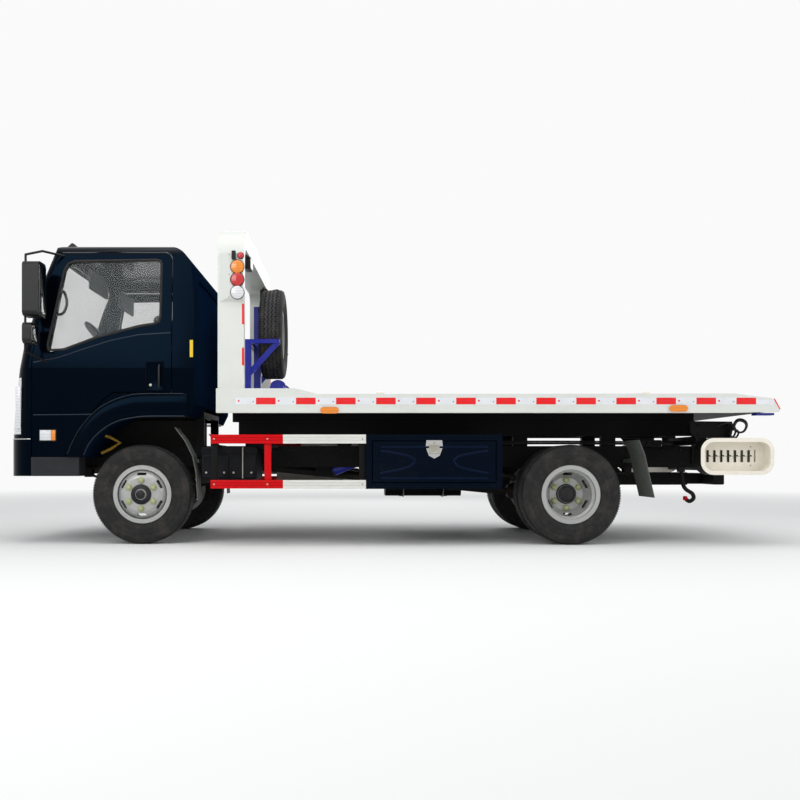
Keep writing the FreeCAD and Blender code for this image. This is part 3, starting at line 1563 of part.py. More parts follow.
def lens(x, z, radius):
    """Left lamp lens, domed outwards from the lamp box."""
    dome = turned([
        (0, 19), (radius * 0.7, 15, "arc"), (radius, 7), (radius, 0), (0, 0),
    ])
    return moved(dome, x, head_outer_y + lamp_box_reach, z)


def headboard_lamps():
    x = head_front_x - head_depth + lamp_radius + 4
    first = lamp_box_base_z + lamp_radius + 2
    pieces = [lens(x, first + index * (2 * lamp_radius - 8), lamp_radius - 5) for index in range(3)]
    pieces.append(lens(x - 20, lamp_box_top_z - 32, 28))
    return pieces


def spare_wheel(shape):
    """Turns a wheel piece to face the carrier, at the spare wheel's place."""
    copy = shape.copy()
    copy.rotate(vec(0, 0, 0), Z_AXIS, -90)
    return moved(copy, spare_x, 0, spare_z)


def spare_carrier():
    """Welded stand: middle column with the wheel's plate, and a braced frame at each side."""
    face = spare_x + wheel_offset
    back = column_x - column_width / 2
    front = column_x + column_width / 2
    foot = deck_top_z
    pieces = [
        box(back, front, -32, 32, foot, spare_z + 245),
        rod(vec(back + 5, 0, spare_z), vec(face, 0, spare_z), 118),
        box(back - 40, front + 100, -90, 90, foot, foot + 12),
    ]
    y0 = tyre_radius + 14
    y1 = y0 + 40
    upright = head_front_x - head_depth + 72
    arm_z = spare_z - 128
    for side in (-1, 1):
        a, b = side * y0, side * y1
        pieces.append(box(upright - 50, upright, a, b, foot, arm_z + 34))
        pieces.append(box(upright - 290, upright, a, b, arm_z, arm_z + 34))
        pieces.append(side_prism([
            (upright - 300, arm_z + 6), (upright - 262, arm_z + 30), (upright - 10, arm_z - 245),
            (upright - 45, arm_z - 275),
        ], side * (y0 + 12), side * (y0 + 28)))
        pieces.append(box(upright - 100, upright + 20, side * (y0 - 20), side * (y1 + 20), foot, foot + 12))
        for z in (foot + 60, arm_z):
            pieces.append(box(upright - 45, upright - 5, side * 30, a, z, z + 34))
        for z in (foot + 60, arm_z):
            pieces.append(box(min(front, upright - 45) - 5, max(front, upright - 5), -32, 32, z, z + 34))
    return fuse(pieces)


def winch():
    """Hydraulic winch on the deck: drum between two end plates, motor and gear case outside."""
    half = winch_half_width
    z = winch_z
    pieces = [
        box(winch_x - 95, winch_x + 95, -half - 30, half + 30, deck_top_z, deck_top_z + 10),
        rod(vec(winch_x, -half, z), vec(winch_x, half, z), winch_drum_radius - 22),
        rod(vec(winch_x, -half + 60, z), vec(winch_x, half - 60, z), winch_drum_radius),
        rod(vec(winch_x, half, z), vec(winch_x, half + 130, z), 62),
        rod(vec(winch_x, -half - 70, z), vec(winch_x, -half, z), 88),
    ]
    for y in (-half - 12, half):
        pieces.append(side_prism([
            (winch_x - 90, deck_top_z + 5), (winch_x - 62, z + 60), (winch_x, z + 92, "arc"),
            (winch_x + 62, z + 60), (winch_x + 90, deck_top_z + 5),
        ], y, y + 12))
    return fuse(pieces)


def ram_line():
    """Foot, direction and length of the tilt rams at rest, in side view."""
    foot = vec(ram_base_x, 0, ram_base_z)
    eye = vec(ram_eye_x, 0, ram_eye_z)
    length = (eye - foot).Length
    return foot, (eye - foot).normalize(), length


def ram_barrel():
    foot, along, length = ram_line()
    shift = vec(0, ram_y, 0)
    half = vec(0, ram_foot_half, 0)
    pieces = [
        rod(foot + shift, foot + shift + along * 70, ram_foot_half - 4),
        rod(foot + shift + along * (ram_eye_radius + 12), foot + shift + along * (length - 105),
            ram_barrel_radius),
        rod(foot + shift - half, foot + shift + half, ram_eye_radius - 4),
    ]
    solid = fuse(pieces)
    holes = [
        rod(foot + shift - half * 2, foot + shift + half * 2, 18 + running_fit),
        rod(foot + shift + along * 90, foot + shift + along * length, ram_rod_radius + running_fit),
    ]
    return cut(solid, holes)


def ram_rod():
    foot, along, length = ram_line()
    shift = vec(0, ram_y, 0)
    half = vec(0, ram_foot_half, 0)
    eye = foot + shift + along * length
    solid = fuse([
        rod(foot + shift + along * 110, eye - along * 20, ram_rod_radius),
        rod(eye - half, eye + half, ram_eye_radius - 4),
    ])
    return solid.cut(rod(eye - half * 2, eye + half * 2, 20))


def make_bed():
    save("tilt_frame", [tilt_frame()])
    save("slide_rod", [slide_rod()])
    save("slide_barrel", [slide_barrel()])
    save("bed_deck", [bed_deck()])
    save("headboard", [headboard()])
    lamps = headboard_lamps()
    save("headboard_lamps", lamps + [mirrored(lamp) for lamp in lamps])
    save("spare_tyre", [spare_wheel(tyre())])
    save("spare_rim", [spare_wheel(rim())])
    save("spare_carrier", [spare_carrier()])
    save("winch", [winch()])
    save("ram_barrels", both_sides(ram_barrel()))
    save("ram_rods", both_sides(ram_rod()))


os.makedirs("parts", exist_ok=True)
make_wheels()
make_axles()
make_chassis()
make_cab()
make_bed()
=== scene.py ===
import bpy
import math
import random
from mathutils import Matrix, Vector


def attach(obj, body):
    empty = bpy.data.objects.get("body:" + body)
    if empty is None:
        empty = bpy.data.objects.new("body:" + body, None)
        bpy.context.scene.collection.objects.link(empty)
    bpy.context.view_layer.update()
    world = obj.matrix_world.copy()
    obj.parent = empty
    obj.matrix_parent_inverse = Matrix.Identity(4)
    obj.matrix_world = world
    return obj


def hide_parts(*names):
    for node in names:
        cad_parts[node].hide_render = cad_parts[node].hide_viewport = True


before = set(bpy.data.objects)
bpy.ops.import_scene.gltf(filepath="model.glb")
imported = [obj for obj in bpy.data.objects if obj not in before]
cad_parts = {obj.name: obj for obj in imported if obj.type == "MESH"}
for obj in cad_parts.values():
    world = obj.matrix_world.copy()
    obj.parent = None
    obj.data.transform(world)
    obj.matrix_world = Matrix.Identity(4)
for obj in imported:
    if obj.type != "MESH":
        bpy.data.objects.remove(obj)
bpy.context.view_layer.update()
front_axle = 1.9225
rear_axle = -1.4375
wheel_z = 0.39
tail_x = -2.9975

# Camera: level, at knee height beside the truck's left side, looking straight across it.
bpy.ops.object.camera_add(location=(0.2225, 8.28, 0.636), rotation=(math.pi / 2, 0, math.pi))
camera = bpy.context.object
camera.data.sensor_width = 36.0
camera.data.lens = 42.12
camera.data.shift_x = 0.0525
camera.data.shift_y = 0.0788
camera.data.clip_end = 200.0
bpy.context.scene.camera = camera
bpy.context.scene.view_settings.view_transform = "Standard"


# Node helpers: each takes and gives output sockets, so a finish reads from its textures to its surface.
def linear(hex_colour):
    """sRGB hex to linear RGBA."""
    parts = [int(hex_colour[i:i + 2], 16) / 255 for i in (1, 3, 5)]
    return tuple(c / 12.92 if c <= 0.04045 else ((c + 0.055) / 1.055) ** 2.4 for c in parts) + (1.0,)


def add_node(tree, kind, links=None, **settings):
    """Adds a node, sets its properties or inputs, and links its inputs from output sockets."""
    node = tree.nodes.new("ShaderNode" + kind)
    for key, value in settings.items():
        if hasattr(node, key):
            setattr(node, key, value)
        else:
            node.inputs[key.replace("_", " ")].default_value = value
    for key, source in (links or {}).items():
        tree.links.new(source, node.inputs[key])
    return node


def maths(tree, operation, *values):
    """A Math node on sockets or numbers."""
    node = add_node(tree, "Math", operation=operation)
    for slot, value in zip(node.inputs, values):
        if isinstance(value, float):
            slot.default_value = value
        else:
            tree.links.new(value, slot)
    return node.outputs[0]


def noise(tree, where, scale, detail, roughness=0.5):
    node = add_node(tree, "TexNoise", {"Vector": where}, Scale=scale, Detail=detail, Roughness=roughness)
    return node.outputs["Fac"]


def waves(tree, where, direction, pitch_mm):
    scale = 1000.0 / pitch_mm / 6.283
    return add_node(tree, "TexWave", {"Vector": where}, bands_direction=direction, Scale=scale).outputs["Fac"]


def remap(tree, source, from_min=0.0, from_max=1.0, to_min=0.0, to_max=1.0):
    limits = {"From_Min": from_min, "From_Max": from_max, "To_Min": to_min, "To_Max": to_max}
    return add_node(tree, "MapRange", {"Value": source}, **limits).outputs["Result"]


def tint(tree, factor, first, second):
    """From one colour to another by a factor."""
    node = add_node(tree, "Mix", {"Factor": factor}, data_type="RGBA")
    node.inputs[6].default_value = linear(first)
    node.inputs[7].default_value = linear(second) if isinstance(second, str) else second
    return node.outputs[2]


def relief(tree, height, strength, distance):
    return add_node(tree, "Bump", {"Height": height}, Strength=strength, Distance=distance).outputs[0]


def new_material(name):
    """An empty material, its tree, and its object coordinates."""
    material = bpy.data.materials.new(name)
    material.use_nodes = True
    tree = material.node_tree
    tree.nodes.clear()
    return material, tree, add_node(tree, "TexCoord").outputs["Object"]


def surfaced(material, tree, links, **settings):
    """Ends a finish in a Principled surface."""
    skin = add_node(tree, "BsdfPrincipled", links, **settings)
    add_node(tree, "OutputMaterial", {"Surface": skin.outputs[0]})
    return material


# Studio: a pale floor that runs out into a plain white surround, soft lamps over and beside it.
surround_colour = linear("#fafafa")
floor_finish, tree, where = new_material("studio_floor")
reach = add_node(tree, "VectorMath", {0: where}, operation="LENGTH").outputs["Value"]
paper = add_node(tree, "BsdfDiffuse", Color=linear("#f3f3f1")).outputs[0]
glow = add_node(tree, "Emission", Color=surround_colour, Strength=1.0).outputs[0]
blend = add_node(tree, "MixShader", {0: remap(tree, reach, 6.0, 16.0), 1: paper, 2: glow})
add_node(tree, "OutputMaterial", {"Surface": blend.outputs[0]})
bpy.ops.mesh.primitive_plane_add(size=80.0, location=(0, 0, -0.002))
floor = bpy.context.object
floor.name = "studio_floor"
floor.data.materials.append(floor_finish)

world = bpy.data.worlds.new("studio_air")
world.use_nodes = True
bpy.context.scene.world = world
tree = world.node_tree
tree.nodes.clear()
ray = add_node(tree, "LightPath").outputs
straight = maths(tree, "MAXIMUM", ray["Is Camera Ray"], ray["Is Transmission Ray"])
seen = maths(tree, "MAXIMUM", straight, ray["Is Glossy Ray"])
air = add_node(tree, "Background", Color=linear("#eef1f5"), Strength=0.62).outputs[0]
wall = add_node(tree, "Background", Color=surround_colour, Strength=1.0).outputs[0]
sky = add_node(tree, "MixShader", {0: seen, 1: air, 2: wall})
add_node(tree, "OutputWorld", {"Surface": sky.outputs[0]})

for name, place, size, power in (
    ("lamp_over", (0.5, 2.5, 7.5), 7.0, 235.0),
    ("lamp_left", (4.5, 7.5, 4.5), 4.0, 190.0),
    ("lamp_rear", (-6.5, 5.0, 4.0), 4.0, 120.0),
    ("lamp_far", (0.0, -7.5, 4.5), 5.0, 105.0),
):
    bpy.ops.object.light_add(type="AREA", location=place)
    lamp = bpy.context.object
    lamp.name = name
    lamp.data.size = size
    lamp.data.energy = power
    lamp.rotation_euler = (Vector((0, 0, 1.0)) - Vector(place)).to_track_quat("-Z", "Y").to_euler()


# Enamelled steel: sprayed alkyd truck paint over pressed or welded sheet. It has a faint orange peel,
# patchy gloss, and dust that settles on top and road dirt that climbs from below.
def enamel(
    name, colour, roughness=0.28, dirt=0.35, dirt_top=1.1, peel_mm=3.0, coat=0.0, metallic=0.0, shine=0.4,
    painted_reflection_tint="#ffffff",
):
    material, tree, where = new_material(name)
    split = add_node(tree, "SeparateXYZ", {0: where})
    patch = remap(tree, noise(tree, where, 2.6, 6.0, 0.62), 0.42, 0.72)
    speck = remap(tree, noise(tree, where, 21.0, 5.0, 0.7), 0.38, 0.75, 0.25)
    height = remap(tree, split.outputs["Z"], 0.2, dirt_top, 1.0, 0.12)
    low = maths(tree, "MULTIPLY", maths(tree, "MULTIPLY", patch, speck), height)
    tone = tint(tree, maths(tree, "MULTIPLY", low, dirt), colour, "#6d6558")
    gloss = remap(tree, low, to_min=roughness, to_max=min(1.0, roughness + 0.4))
    peel = relief(tree, noise(tree, where, 1000.0 / peel_mm, 2.0), 0.05, 0.0006)
    # A reflection tint other than white colours every reflection of the enamel: a painted reflection.
    return surfaced(
        material, tree, {"Base Color": tone, "Roughness": gloss, "Normal": peel}, Metallic=metallic,
        Coat_Weight=coat, Coat_Roughness=0.12, Specular_IOR_Level=shine, Specular_Tint=linear(painted_reflection_tint),
    )


def dress(material, *nodes):
    """Gives CAD nodes a new finish."""
    for node in nodes:
        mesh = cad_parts[node].data
        mesh.materials.clear()
        mesh.materials.append(material)


def dress_faces(node, material, chosen):
    """Gives the chosen faces of a CAD node a second finish."""
    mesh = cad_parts[node].data
    mesh.materials.append(material)
    for face in mesh.polygons:
        if chosen(face):
            face.material_index = 1


def is_lever_box_outside(face):
    middle = face.center
    in_recess = -2.926 < middle.x < -2.422 and 0.573 < middle.z < 0.799
    return abs(middle.y) < 1.1395 and not in_recess


# The blue reflection tints on the cab and toolbox enamel are a painted sky reflection.
painted_sky_reflection_blue, dull_painted_sky_reflection_blue = "#5484b4", "#5a84b4"
navy = enamel("cab_enamel_navy", "#020409", 0.12, 0.03, shine=0.13, painted_reflection_tint=painted_sky_reflection_blue)
navy_edge = enamel(
    "cab_enamel_navy_edges", "#05070f", 0.2, 0.05, coat=0.3, shine=0.45, painted_reflection_tint=painted_sky_reflection_blue)
cab_back_painted_sky_reflection = enamel("cab_enamel_navy_dull", "#0a1a2e", 0.6, 0.03, shine=0.0)
white = enamel("bed_enamel_white", "#d6d8d2", 0.34, 0.3, 1.9, coat=0.1)
chassis_black = enamel("chassis_enamel_black", "#08080a", 0.5, 0.12, shine=0.12)
guard_red = enamel("guard_enamel_red", "#c9000c", 0.3, 0.12, shine=0.15)
guard_white = enamel("guard_enamel_white", "#dcdcd6", 0.3, 0.4, coat=0.15)
royal_blue = enamel("carrier_enamel_blue", "#10209a", 0.3, 0.25, 2.2, coat=0.15)
toolbox_navy = enamel(
    "toolbox_enamel_navy", "#060a13", 0.22, 0.04, shine=0.16, painted_reflection_tint=dull_painted_sky_reflection_blue)
# The rib blue is lighter than the door it is pressed from: a painted highlight on the ribs and chevrons.
rib_painted_highlight_blue = enamel(
    "toolbox_enamel_rib", "#081022", 0.25, 0.04, shine=0.25, painted_reflection_tint=dull_painted_sky_reflection_blue)
cream = enamel("lever_box_enamel_cream", "#ece6d8", 0.32, coat=0.15)
rim_silver = enamel("rim_enamel_silver", "#a9aaa8", 0.34, 0.45, coat=0.15, metallic=0.35)
cast_black = enamel("cast_iron_painted", "#161514", 0.6, 0.5, peel_mm=1.2, shine=0.2)
hub_dark = enamel("hub_cap_dark", "#12151b", 0.35, 0.4, peel_mm=1.5, shine=0.25)
bracket_yellow = enamel("arch_bracket_yellow", "#a88420", 0.45, 0.4)
dress(navy, "cab_shell", "door_left", "door_right", "front_bumper")
# The cab's rear-facing faces get a lighter, matt blue: a painted sky reflection on the back wall.
dress_faces("cab_shell", cab_back_painted_sky_reflection, lambda face: face.normal.x < -0.35)
dress(white, "bed_deck", "headboard")
dress(
    chassis_black, "chassis_frame", "tilt_frame", "rear_bumper", "lift_boom", "lift_arm", "slide_barrel",
    "fuel_tank",
)
dress(guard_red, "side_guards")
dress(royal_blue, "spare_carrier", "winch", "ram_barrels")
dress(toolbox_navy, "toolbox", "toolbox_door")
dress(cream, "lever_boxes")
dress_faces("lever_boxes", chassis_black, is_lever_box_outside)
dress(rim_silver, "rim_front_left", "rim_front_right", "rims_rear_left", "rims_rear_right", "spare_rim")
dress(
    cast_black, "front_axle", "rear_axle", "propshaft", "leaf_springs", "engine_block", "knuckle_left",
    "knuckle_right", "tie_rod",
)


# Plastics: moulded polypropylene and ABS parts with a fine spark-eroded grain, dusty in the low places.
def moulded(name, colour, roughness=0.55, grain_mm=1.6, dust=0.25, shine=0.4):
    material, tree, where = new_material(name)
    cloud = noise(tree, where, 7.0, 6.0, 0.65)
    tone = tint(tree, remap(tree, cloud, 0.4, 0.8, to_max=dust), colour, "#7a7367")
    gloss = remap(tree, cloud, to_min=roughness - 0.08, to_max=roughness + 0.15)
    grain = relief(tree, noise(tree, where, 1000.0 / grain_mm, 2.0), 0.2, 0.0004)
    links = {"Base Color": tone, "Roughness": gloss, "Normal": grain}
    return surfaced(material, tree, links, Specular_IOR_Level=shine)


# Bright metal: chromed rods and trim, zinc-plated fasteners, with fine rubbing marks in the gloss.
def bright_metal(name, colour, roughness=0.15, marks_mm=6.0):
    material, tree, where = new_material(name)
    marks = noise(tree, where, 1000.0 / marks_mm, 4.0)
    tone = tint(tree, marks, colour, "#8d8b86")
    gloss = remap(tree, marks, to_min=roughness * 0.6, to_max=roughness * 1.9)
    return surfaced(material, tree, {"Base Color": tone, "Roughness": gloss}, Metallic=1.0)


# Window glass: green-grey tinted float glass, thin, with patches of dust in its gloss. The rear window is near-opaque
# dark blue without gloss, a painted sky reflection and painted shade, as the photograph shows no light through it.
def window(name, tint_colour, see_through, shine=0.5):
    material, tree, where = new_material(name)
    film = remap(tree, noise(tree, where, 5.0, 6.0, 0.6), 0.35, 0.85, 0.03, 0.22)
    return surfaced(
        material, tree, {"Roughness": film}, Base_Color=linear(tint_colour), IOR=1.45, Specular_IOR_Level=shine,
        Alpha=1.0 - see_through,
    )


# Lamp lens: clear or dyed acrylic with moulded prism ribs that show as fine rings and lines.
def lens_plastic(name, colour, rib_mm=6.0, glow=0.0):
    material, tree, where = new_material(name)
    ribs = waves(tree, where, "Z", rib_mm)
    tone = tint(tree, ribs, colour, [c * 0.62 for c in linear(colour)[:3]] + [1.0])
    return surfaced(
        material, tree, {"Base Color": tone, "Normal": relief(tree, ribs, 0.35, 0.0012)}, Roughness=0.12, IOR=1.49,
        Coat_Weight=0.6, Emission_Color=linear(colour), Emission_Strength=glow,
    )


trim_black = moulded("trim_black_plastic", "#0a0b0e", 0.4, dust=0.04, shine=0.3)
step_grey = moulded("step_grey_plastic", "#14171c", 0.6, 3.0, 0.06, 0.3)
interior_grey = moulded("interior_grey_plastic", "#55565a", 0.6)
battery_black = moulded("battery_black_plastic", "#0b0e14", 0.5, dust=0.05, shine=0.12)
mudflap_grey = moulded("mudguard_grey_rubber", "#5d625e", 0.75, 4.0, 0.6)
rubber_black = moulded("seal_black_rubber", "#0f0f10", 0.7, dust=0.15)
nut_yellow = moulded("nut_cap_yellow_green", "#a7ac80", 0.45, dust=0.45)
tape_red = moulded("tape_red_reflective", "#e30613", 0.34, 2.4, 0.1)
tape_white = moulded("tape_white_reflective", "#dfe2e6", 0.34, 2.4, 0.15)
tape_yellow = moulded("tape_yellow_reflective", "#e8c21a", 0.35, 2.4, 0.05)
slot_dark = moulded("deck_slot_shadow", "#101112", 0.7, dust=0.2)
slot_black = moulded("lever_slot_shadow", "#0b0b0c", 0.8, dust=0.0)
chrome = bright_metal("rod_hard_chrome", "#d9dadc", 0.08)
bright = bright_metal("trim_satin_chrome", "#cfd2d4", 0.16)
zinc = bright_metal("fastener_zinc_plate", "#b7b3a4", 0.3)
exhaust_steel = bright_metal("exhaust_aluminised_steel", "#7b766d", 0.5)
cab_window = window("window_float_glass", "#5b6464", 0.84)
rear_glass_painted_reflection_and_shade = window("window_privacy_glass", "#0a1d36", 0.05, 0.0)
clear_lens = lens_plastic("lens_clear_acrylic", "#e6e8ea")
amber_lens = lens_plastic("lens_amber_acrylic", "#f08a12", glow=0.06)
red_lens = lens_plastic("lens_red_acrylic", "#c81018", glow=0.05)
lenses = {"amber": amber_lens, "red": red_lens, "clear": clear_lens}
dress(step_grey, "cab_steps")
dress(interior_grey, "dashboard")
dress(battery_black, "battery_box")
dress(mudflap_grey, "mudguards")
dress(trim_black, "front_grille", "mirror_left", "mirror_right", "roof_lamps")
dress(chrome, "ram_rods", "slide_rod")
dress(exhaust_steel, "exhaust")
dress(cab_window, "cab_glass", "door_glass_left", "door_glass_right")
dress_faces("cab_glass", rear_glass_painted_reflection_and_shade, lambda face: face.center.x < front_axle - 0.3)
dress(clear_lens, "headlamps")
dress(red_lens, "tail_lamps")
dress(amber_lens, "headboard_lamps")


# Seat cloth: flat-woven polyester over foam, its threads drawn coarser than real so that they show.
def seat_cloth(name, colour, thread_mm=4.0):
    material, tree, where = new_material(name)
    weave = maths(tree, "MULTIPLY", waves(tree, where, "Y", thread_mm), waves(tree, where, "Z", thread_mm))
    links = {"Base Color": tint(tree, weave, colour, "#6a6a70"), "Normal": relief(tree, weave, 0.4, 0.0008)}
    return surfaced(material, tree, links, Roughness=0.9, Sheen_Weight=0.3)


seat_grey = seat_cloth("seat_cloth_grey", "#34353b")
dress(seat_grey, "seats")


# Mesh helpers: every piece starts from typed points or a rounded block, and is settled on its body.
def activate(piece):
    bpy.ops.object.select_all(action="DESELECT")
    piece.select_set(True)
    bpy.context.view_layer.objects.active = piece


def pick_faces(piece, chosen):
    """Goes to edit mode with only the chosen faces selected."""
    bpy.ops.object.mode_set(mode="EDIT")
    bpy.ops.mesh.select_all(action="DESELECT")
    bpy.ops.object.mode_set(mode="OBJECT")
    for face in piece.data.polygons:
        face.select = chosen(face)
    bpy.ops.object.mode_set(mode="EDIT")


def pick_side(piece, axis, upper):
    """Picks the faces that look along an axis, towards its upper or its lower end."""
    index, sign = "XYZ".index(axis), 1 if upper else -1
    pick_faces(piece, lambda face: face.normal[index] * sign > 0.9)


def round_edges(piece, width, segments, angle=None):
    """Bevels the edges sharper than an angle in degrees, or than Blender's own 30."""
    edge = piece.modifiers.new("edge", "BEVEL")
    edge.width = width
    edge.segments = segments
    edge.limit_method = "ANGLE"
    if angle:
        edge.angle_limit = math.radians(angle)
    bpy.ops.object.modifier_apply(modifier="edge")


def settle(piece, material, body, *nodes, slot=None):
    """Finishes a piece: places it in its mesh, gives it its finish, and lets it ride on its body."""
    activate(piece)
    bpy.ops.object.transform_apply(location=True, rotation=True, scale=True)
    piece.data.materials.clear()
    piece.data.materials.append(material)
    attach(piece, body)
    if nodes:
        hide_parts(*nodes)
    return piece


def start_mesh(name, points, edges=(), faces=()):
    """A new mesh from a few typed points, made active for shaping."""
    mesh = bpy.data.meshes.new(name)
    mesh.from_pydata(points, edges, faces)
    piece = bpy.data.objects.new(name, mesh)
    bpy.context.scene.collection.objects.link(piece)
    activate(piece)
    return piece


def tidy_mesh(piece, angle=35.0):
    """Merges doubles, turns the faces outwards and smooths shallow edges."""
    activate(piece)
    bpy.ops.object.mode_set(mode="EDIT")
    bpy.ops.mesh.select_all(action="SELECT")
    bpy.ops.mesh.remove_doubles(threshold=0.00005)
    bpy.ops.mesh.normals_make_consistent(inside=False)
    bpy.ops.object.mode_set(mode="OBJECT")
    bpy.ops.object.shade_smooth_by_angle(angle=math.radians(angle))
    return piece


def spun(name, outline, steps):
    """Spins an outline of (radius, y) points about the Y axis."""
    points = [(radius, y, 0.0) for radius, y in outline]
    piece = start_mesh(name, points, [(i, (i + 1) % len(points)) for i in range(len(points))])
    bpy.ops.object.mode_set(mode="EDIT")
    bpy.ops.mesh.select_all(action="SELECT")
    bpy.ops.mesh.spin(steps=steps, angle=math.tau, center=(0, 0, 0), axis=(0, 1, 0))
    bpy.ops.object.mode_set(mode="OBJECT")
    return tidy_mesh(piece)


def copied(piece, name, shift=(0, 0, 0), turn=0.0):
    """A copy with its own mesh, turned about the Y axis and then shifted."""
    other = piece.copy()
    other.data = piece.data.copy()
    other.name = name
    bpy.context.scene.collection.objects.link(other)
    other.data.transform(Matrix.Translation(shift) @ Matrix.Rotation(turn, 4, "Y"))
    return other


def mirror(piece):
    """Puts a piece on the truck's other side."""
    piece.data.transform(Matrix.Scale(-1, 4, (0, 1, 0)))
    piece.data.flip_normals()


def flipped(piece, name):
    """The same piece on the truck's other side, with its own mesh."""
    other = copied(piece, name)
    mirror(other)
    return other


def joined(name, pieces):
    """Joins pieces into one mesh."""
    activate(pieces[0])
    for piece in pieces:
        piece.select_set(True)
    bpy.ops.object.join()
    pieces[0].name = name
    return pieces[0]


def both(piece, material, body, *nodes, slot=None):
    """Settles a left piece and its copy on the right."""
    other = flipped(piece, piece.name.replace("left", "right"))
    settle(piece, material, body, *nodes, slot=slot)
    settle(other, material, body.replace("left", "right"), *nodes, slot=slot)


# Tyres: radial truck tyres of carbon-black rubber, cured in a segmented mould. The tread is three zigzag
# ribs between two rows of shoulder blocks, and the sidewall carries moulded rings and a bead rib.
def tyre_rubber(name, fresh, dusty):
    material, tree, where = new_material(name)
    cloud = noise(tree, where, 9.0, 7.0, 0.7)
    tone = tint(tree, remap(tree, cloud, 0.46, 0.78, to_max=0.3), fresh, dusty)
    gloss = remap(tree, cloud, to_min=0.62, to_max=0.88)
    grit = relief(tree, noise(tree, where, 420.0, 2.0), 0.25, 0.0005)
    links = {"Base Color": tone, "Roughness": gloss, "Normal": grit}
    return surfaced(material, tree, links, Specular_IOR_Level=0.35)


def off_axle(place):
    """Distance from the wheel's axis."""
    return math.hypot(place.x, place.z)


def is_on_rows(face, rows):
    """Tells the big faces of some tread rows from the sidewall and from the grooves already cut."""
    middle = face.center
    row = int((middle.y + half_tread) / (half_tread * 2 / 5))
    on_tread = off_axle(middle) > tread_radius - 0.002 and abs(middle.y) < half_tread
    return on_tread and row in rows and face.area > 0.0004


black_rubber = tyre_rubber("tyre_black_rubber", "#141415", "#6a6359")
worn_rubber = tyre_rubber("tyre_worn_tread_rubber", "#333335", "#8a7f70")
tread_rows = 58
tread_radius = 0.3815
half_tread = 0.079
zigzag = 0.0075
block_height = 0.0078
twin_turn = 0.4
side_outline = [
    (tread_radius - 0.004, half_tread + 0.0115), (0.3715, 0.0935), (0.366, 0.0937), (0.362, 0.0966), (0.345, 0.0995),
    (0.338, 0.0995), (0.3365, 0.0978), (0.318, 0.0972), (0.3165, 0.0994), (0.31, 0.0994), (0.3085, 0.0972),
    (0.28, 0.0955), (0.2785, 0.0972), (0.272, 0.0968), (0.2705, 0.0935), (0.25, 0.088), (0.2375, 0.0795),
    (0.23, 0.0795), (0.2285, 0.072), (0.205, 0.068),
]
tread_outline = [(tread_radius, half_tread - index * half_tread * 2 / 5) for index in range(6)]
around = tread_outline + [(r, -y) for r, y in side_outline] + [(r, y) for r, y in reversed(side_outline)]
tyre = spun("tyre_pattern", around, tread_rows * 2)
for vertex in tyre.data.vertices:
    place = vertex.co
    if off_axle(place) > tread_radius - 0.001 and abs(place.y) < half_tread - 0.005:
        tooth = round(math.atan2(place.z, place.x) / math.tau * tread_rows * 2) % 2
        place.y += zigzag if tooth else -zigzag
for rows, single, gap in (((0, 4), True, 0.0032), ((2,), False, 0.0036), ((1, 3), False, 0.0036)):
    pick_faces(tyre, lambda face: is_on_rows(face, rows))
    bpy.ops.mesh.select_mode(type="FACE")
    bpy.ops.mesh.inset(thickness=gap, depth=0.0, use_individual=single)
    bpy.ops.mesh.extrude_region_shrink_fatten(TRANSFORM_OT_shrink_fatten={"value": block_height})
    bpy.ops.object.mode_set(mode="OBJECT")
tidy_mesh(tyre, 32.0)
worn_radius = tread_radius + 0.0045
worn_faces = [face.index for face in tyre.data.polygons if off_axle(face.center) > worn_radius]


def wear(piece):
    """Gives the tops of the tread blocks their greyer, rubbed finish."""
    piece.data.materials.append(worn_rubber)
    for index in worn_faces:
        piece.data.polygons[index].material_index = 1


for name, body, x, ys in (
    ("tyre_front_left", "wheel_front_left", front_axle, (0.83,)),
    ("tyre_front_right", "wheel_front_right", front_axle, (-0.83,)),
    ("tyres_rear_left", "wheels_rear_left", rear_axle, (0.91, 0.69)),
    ("tyres_rear_right", "wheels_rear_right", rear_axle, (-0.91, -0.69)),
):
    for count, y in enumerate(ys):
        piece = copied(tyre, name + "_rubber_" + str(count), (x, y, wheel_z), twin_turn * count)
        wear(settle(piece, black_rubber, body, name))
spare_x, spare_z = front_axle - 0.955, 1.768
spare = copied(tyre, "spare_tyre_rubber")
spare.data.transform(Matrix.Translation((spare_x, 0, spare_z)) @ Matrix.Rotation(-math.pi / 2, 4, "Z"))
wear(settle(spare, black_rubber, "bed", "spare_tyre"))
bpy.data.objects.remove(tyre)


# Wheel fastenings: six domed nuts with yellow-green caps and their washers on each disc, and a cast hub
# cap on its sleeve and collar over the bearing. They are turned or cast, and stand on the nut face.
def facets(name, centre, radius, depth, sides=6, axis="Y", bevel=0.0015, dome=0.0):
    """A short prism along an axis with a bevelled, slightly domed outer end, as on a nut or a cap."""
    turn = {"X": (0, math.pi / 2, 0), "Y": (math.pi / 2, 0, 0), "Z": (0, 0, 0)}[axis]
    bpy.ops.mesh.primitive_cylinder_add(vertices=sides, radius=radius, depth=depth, location=centre, rotation=turn)
    piece = bpy.context.object
    piece.name = name
    bpy.ops.object.transform_apply(location=True, rotation=True, scale=True)
    if dome:
        pick_side(piece, axis, dome > 0)
        bpy.ops.mesh.inset(thickness=radius * 0.35, depth=abs(dome))
        bpy.ops.mesh.inset(thickness=radius * 0.3, depth=abs(dome) * 0.4)
        bpy.ops.object.mode_set(mode="OBJECT")
    round_edges(piece, bevel, 2)
    bpy.ops.object.shade_smooth_by_angle(angle=math.radians(40))
    return piece


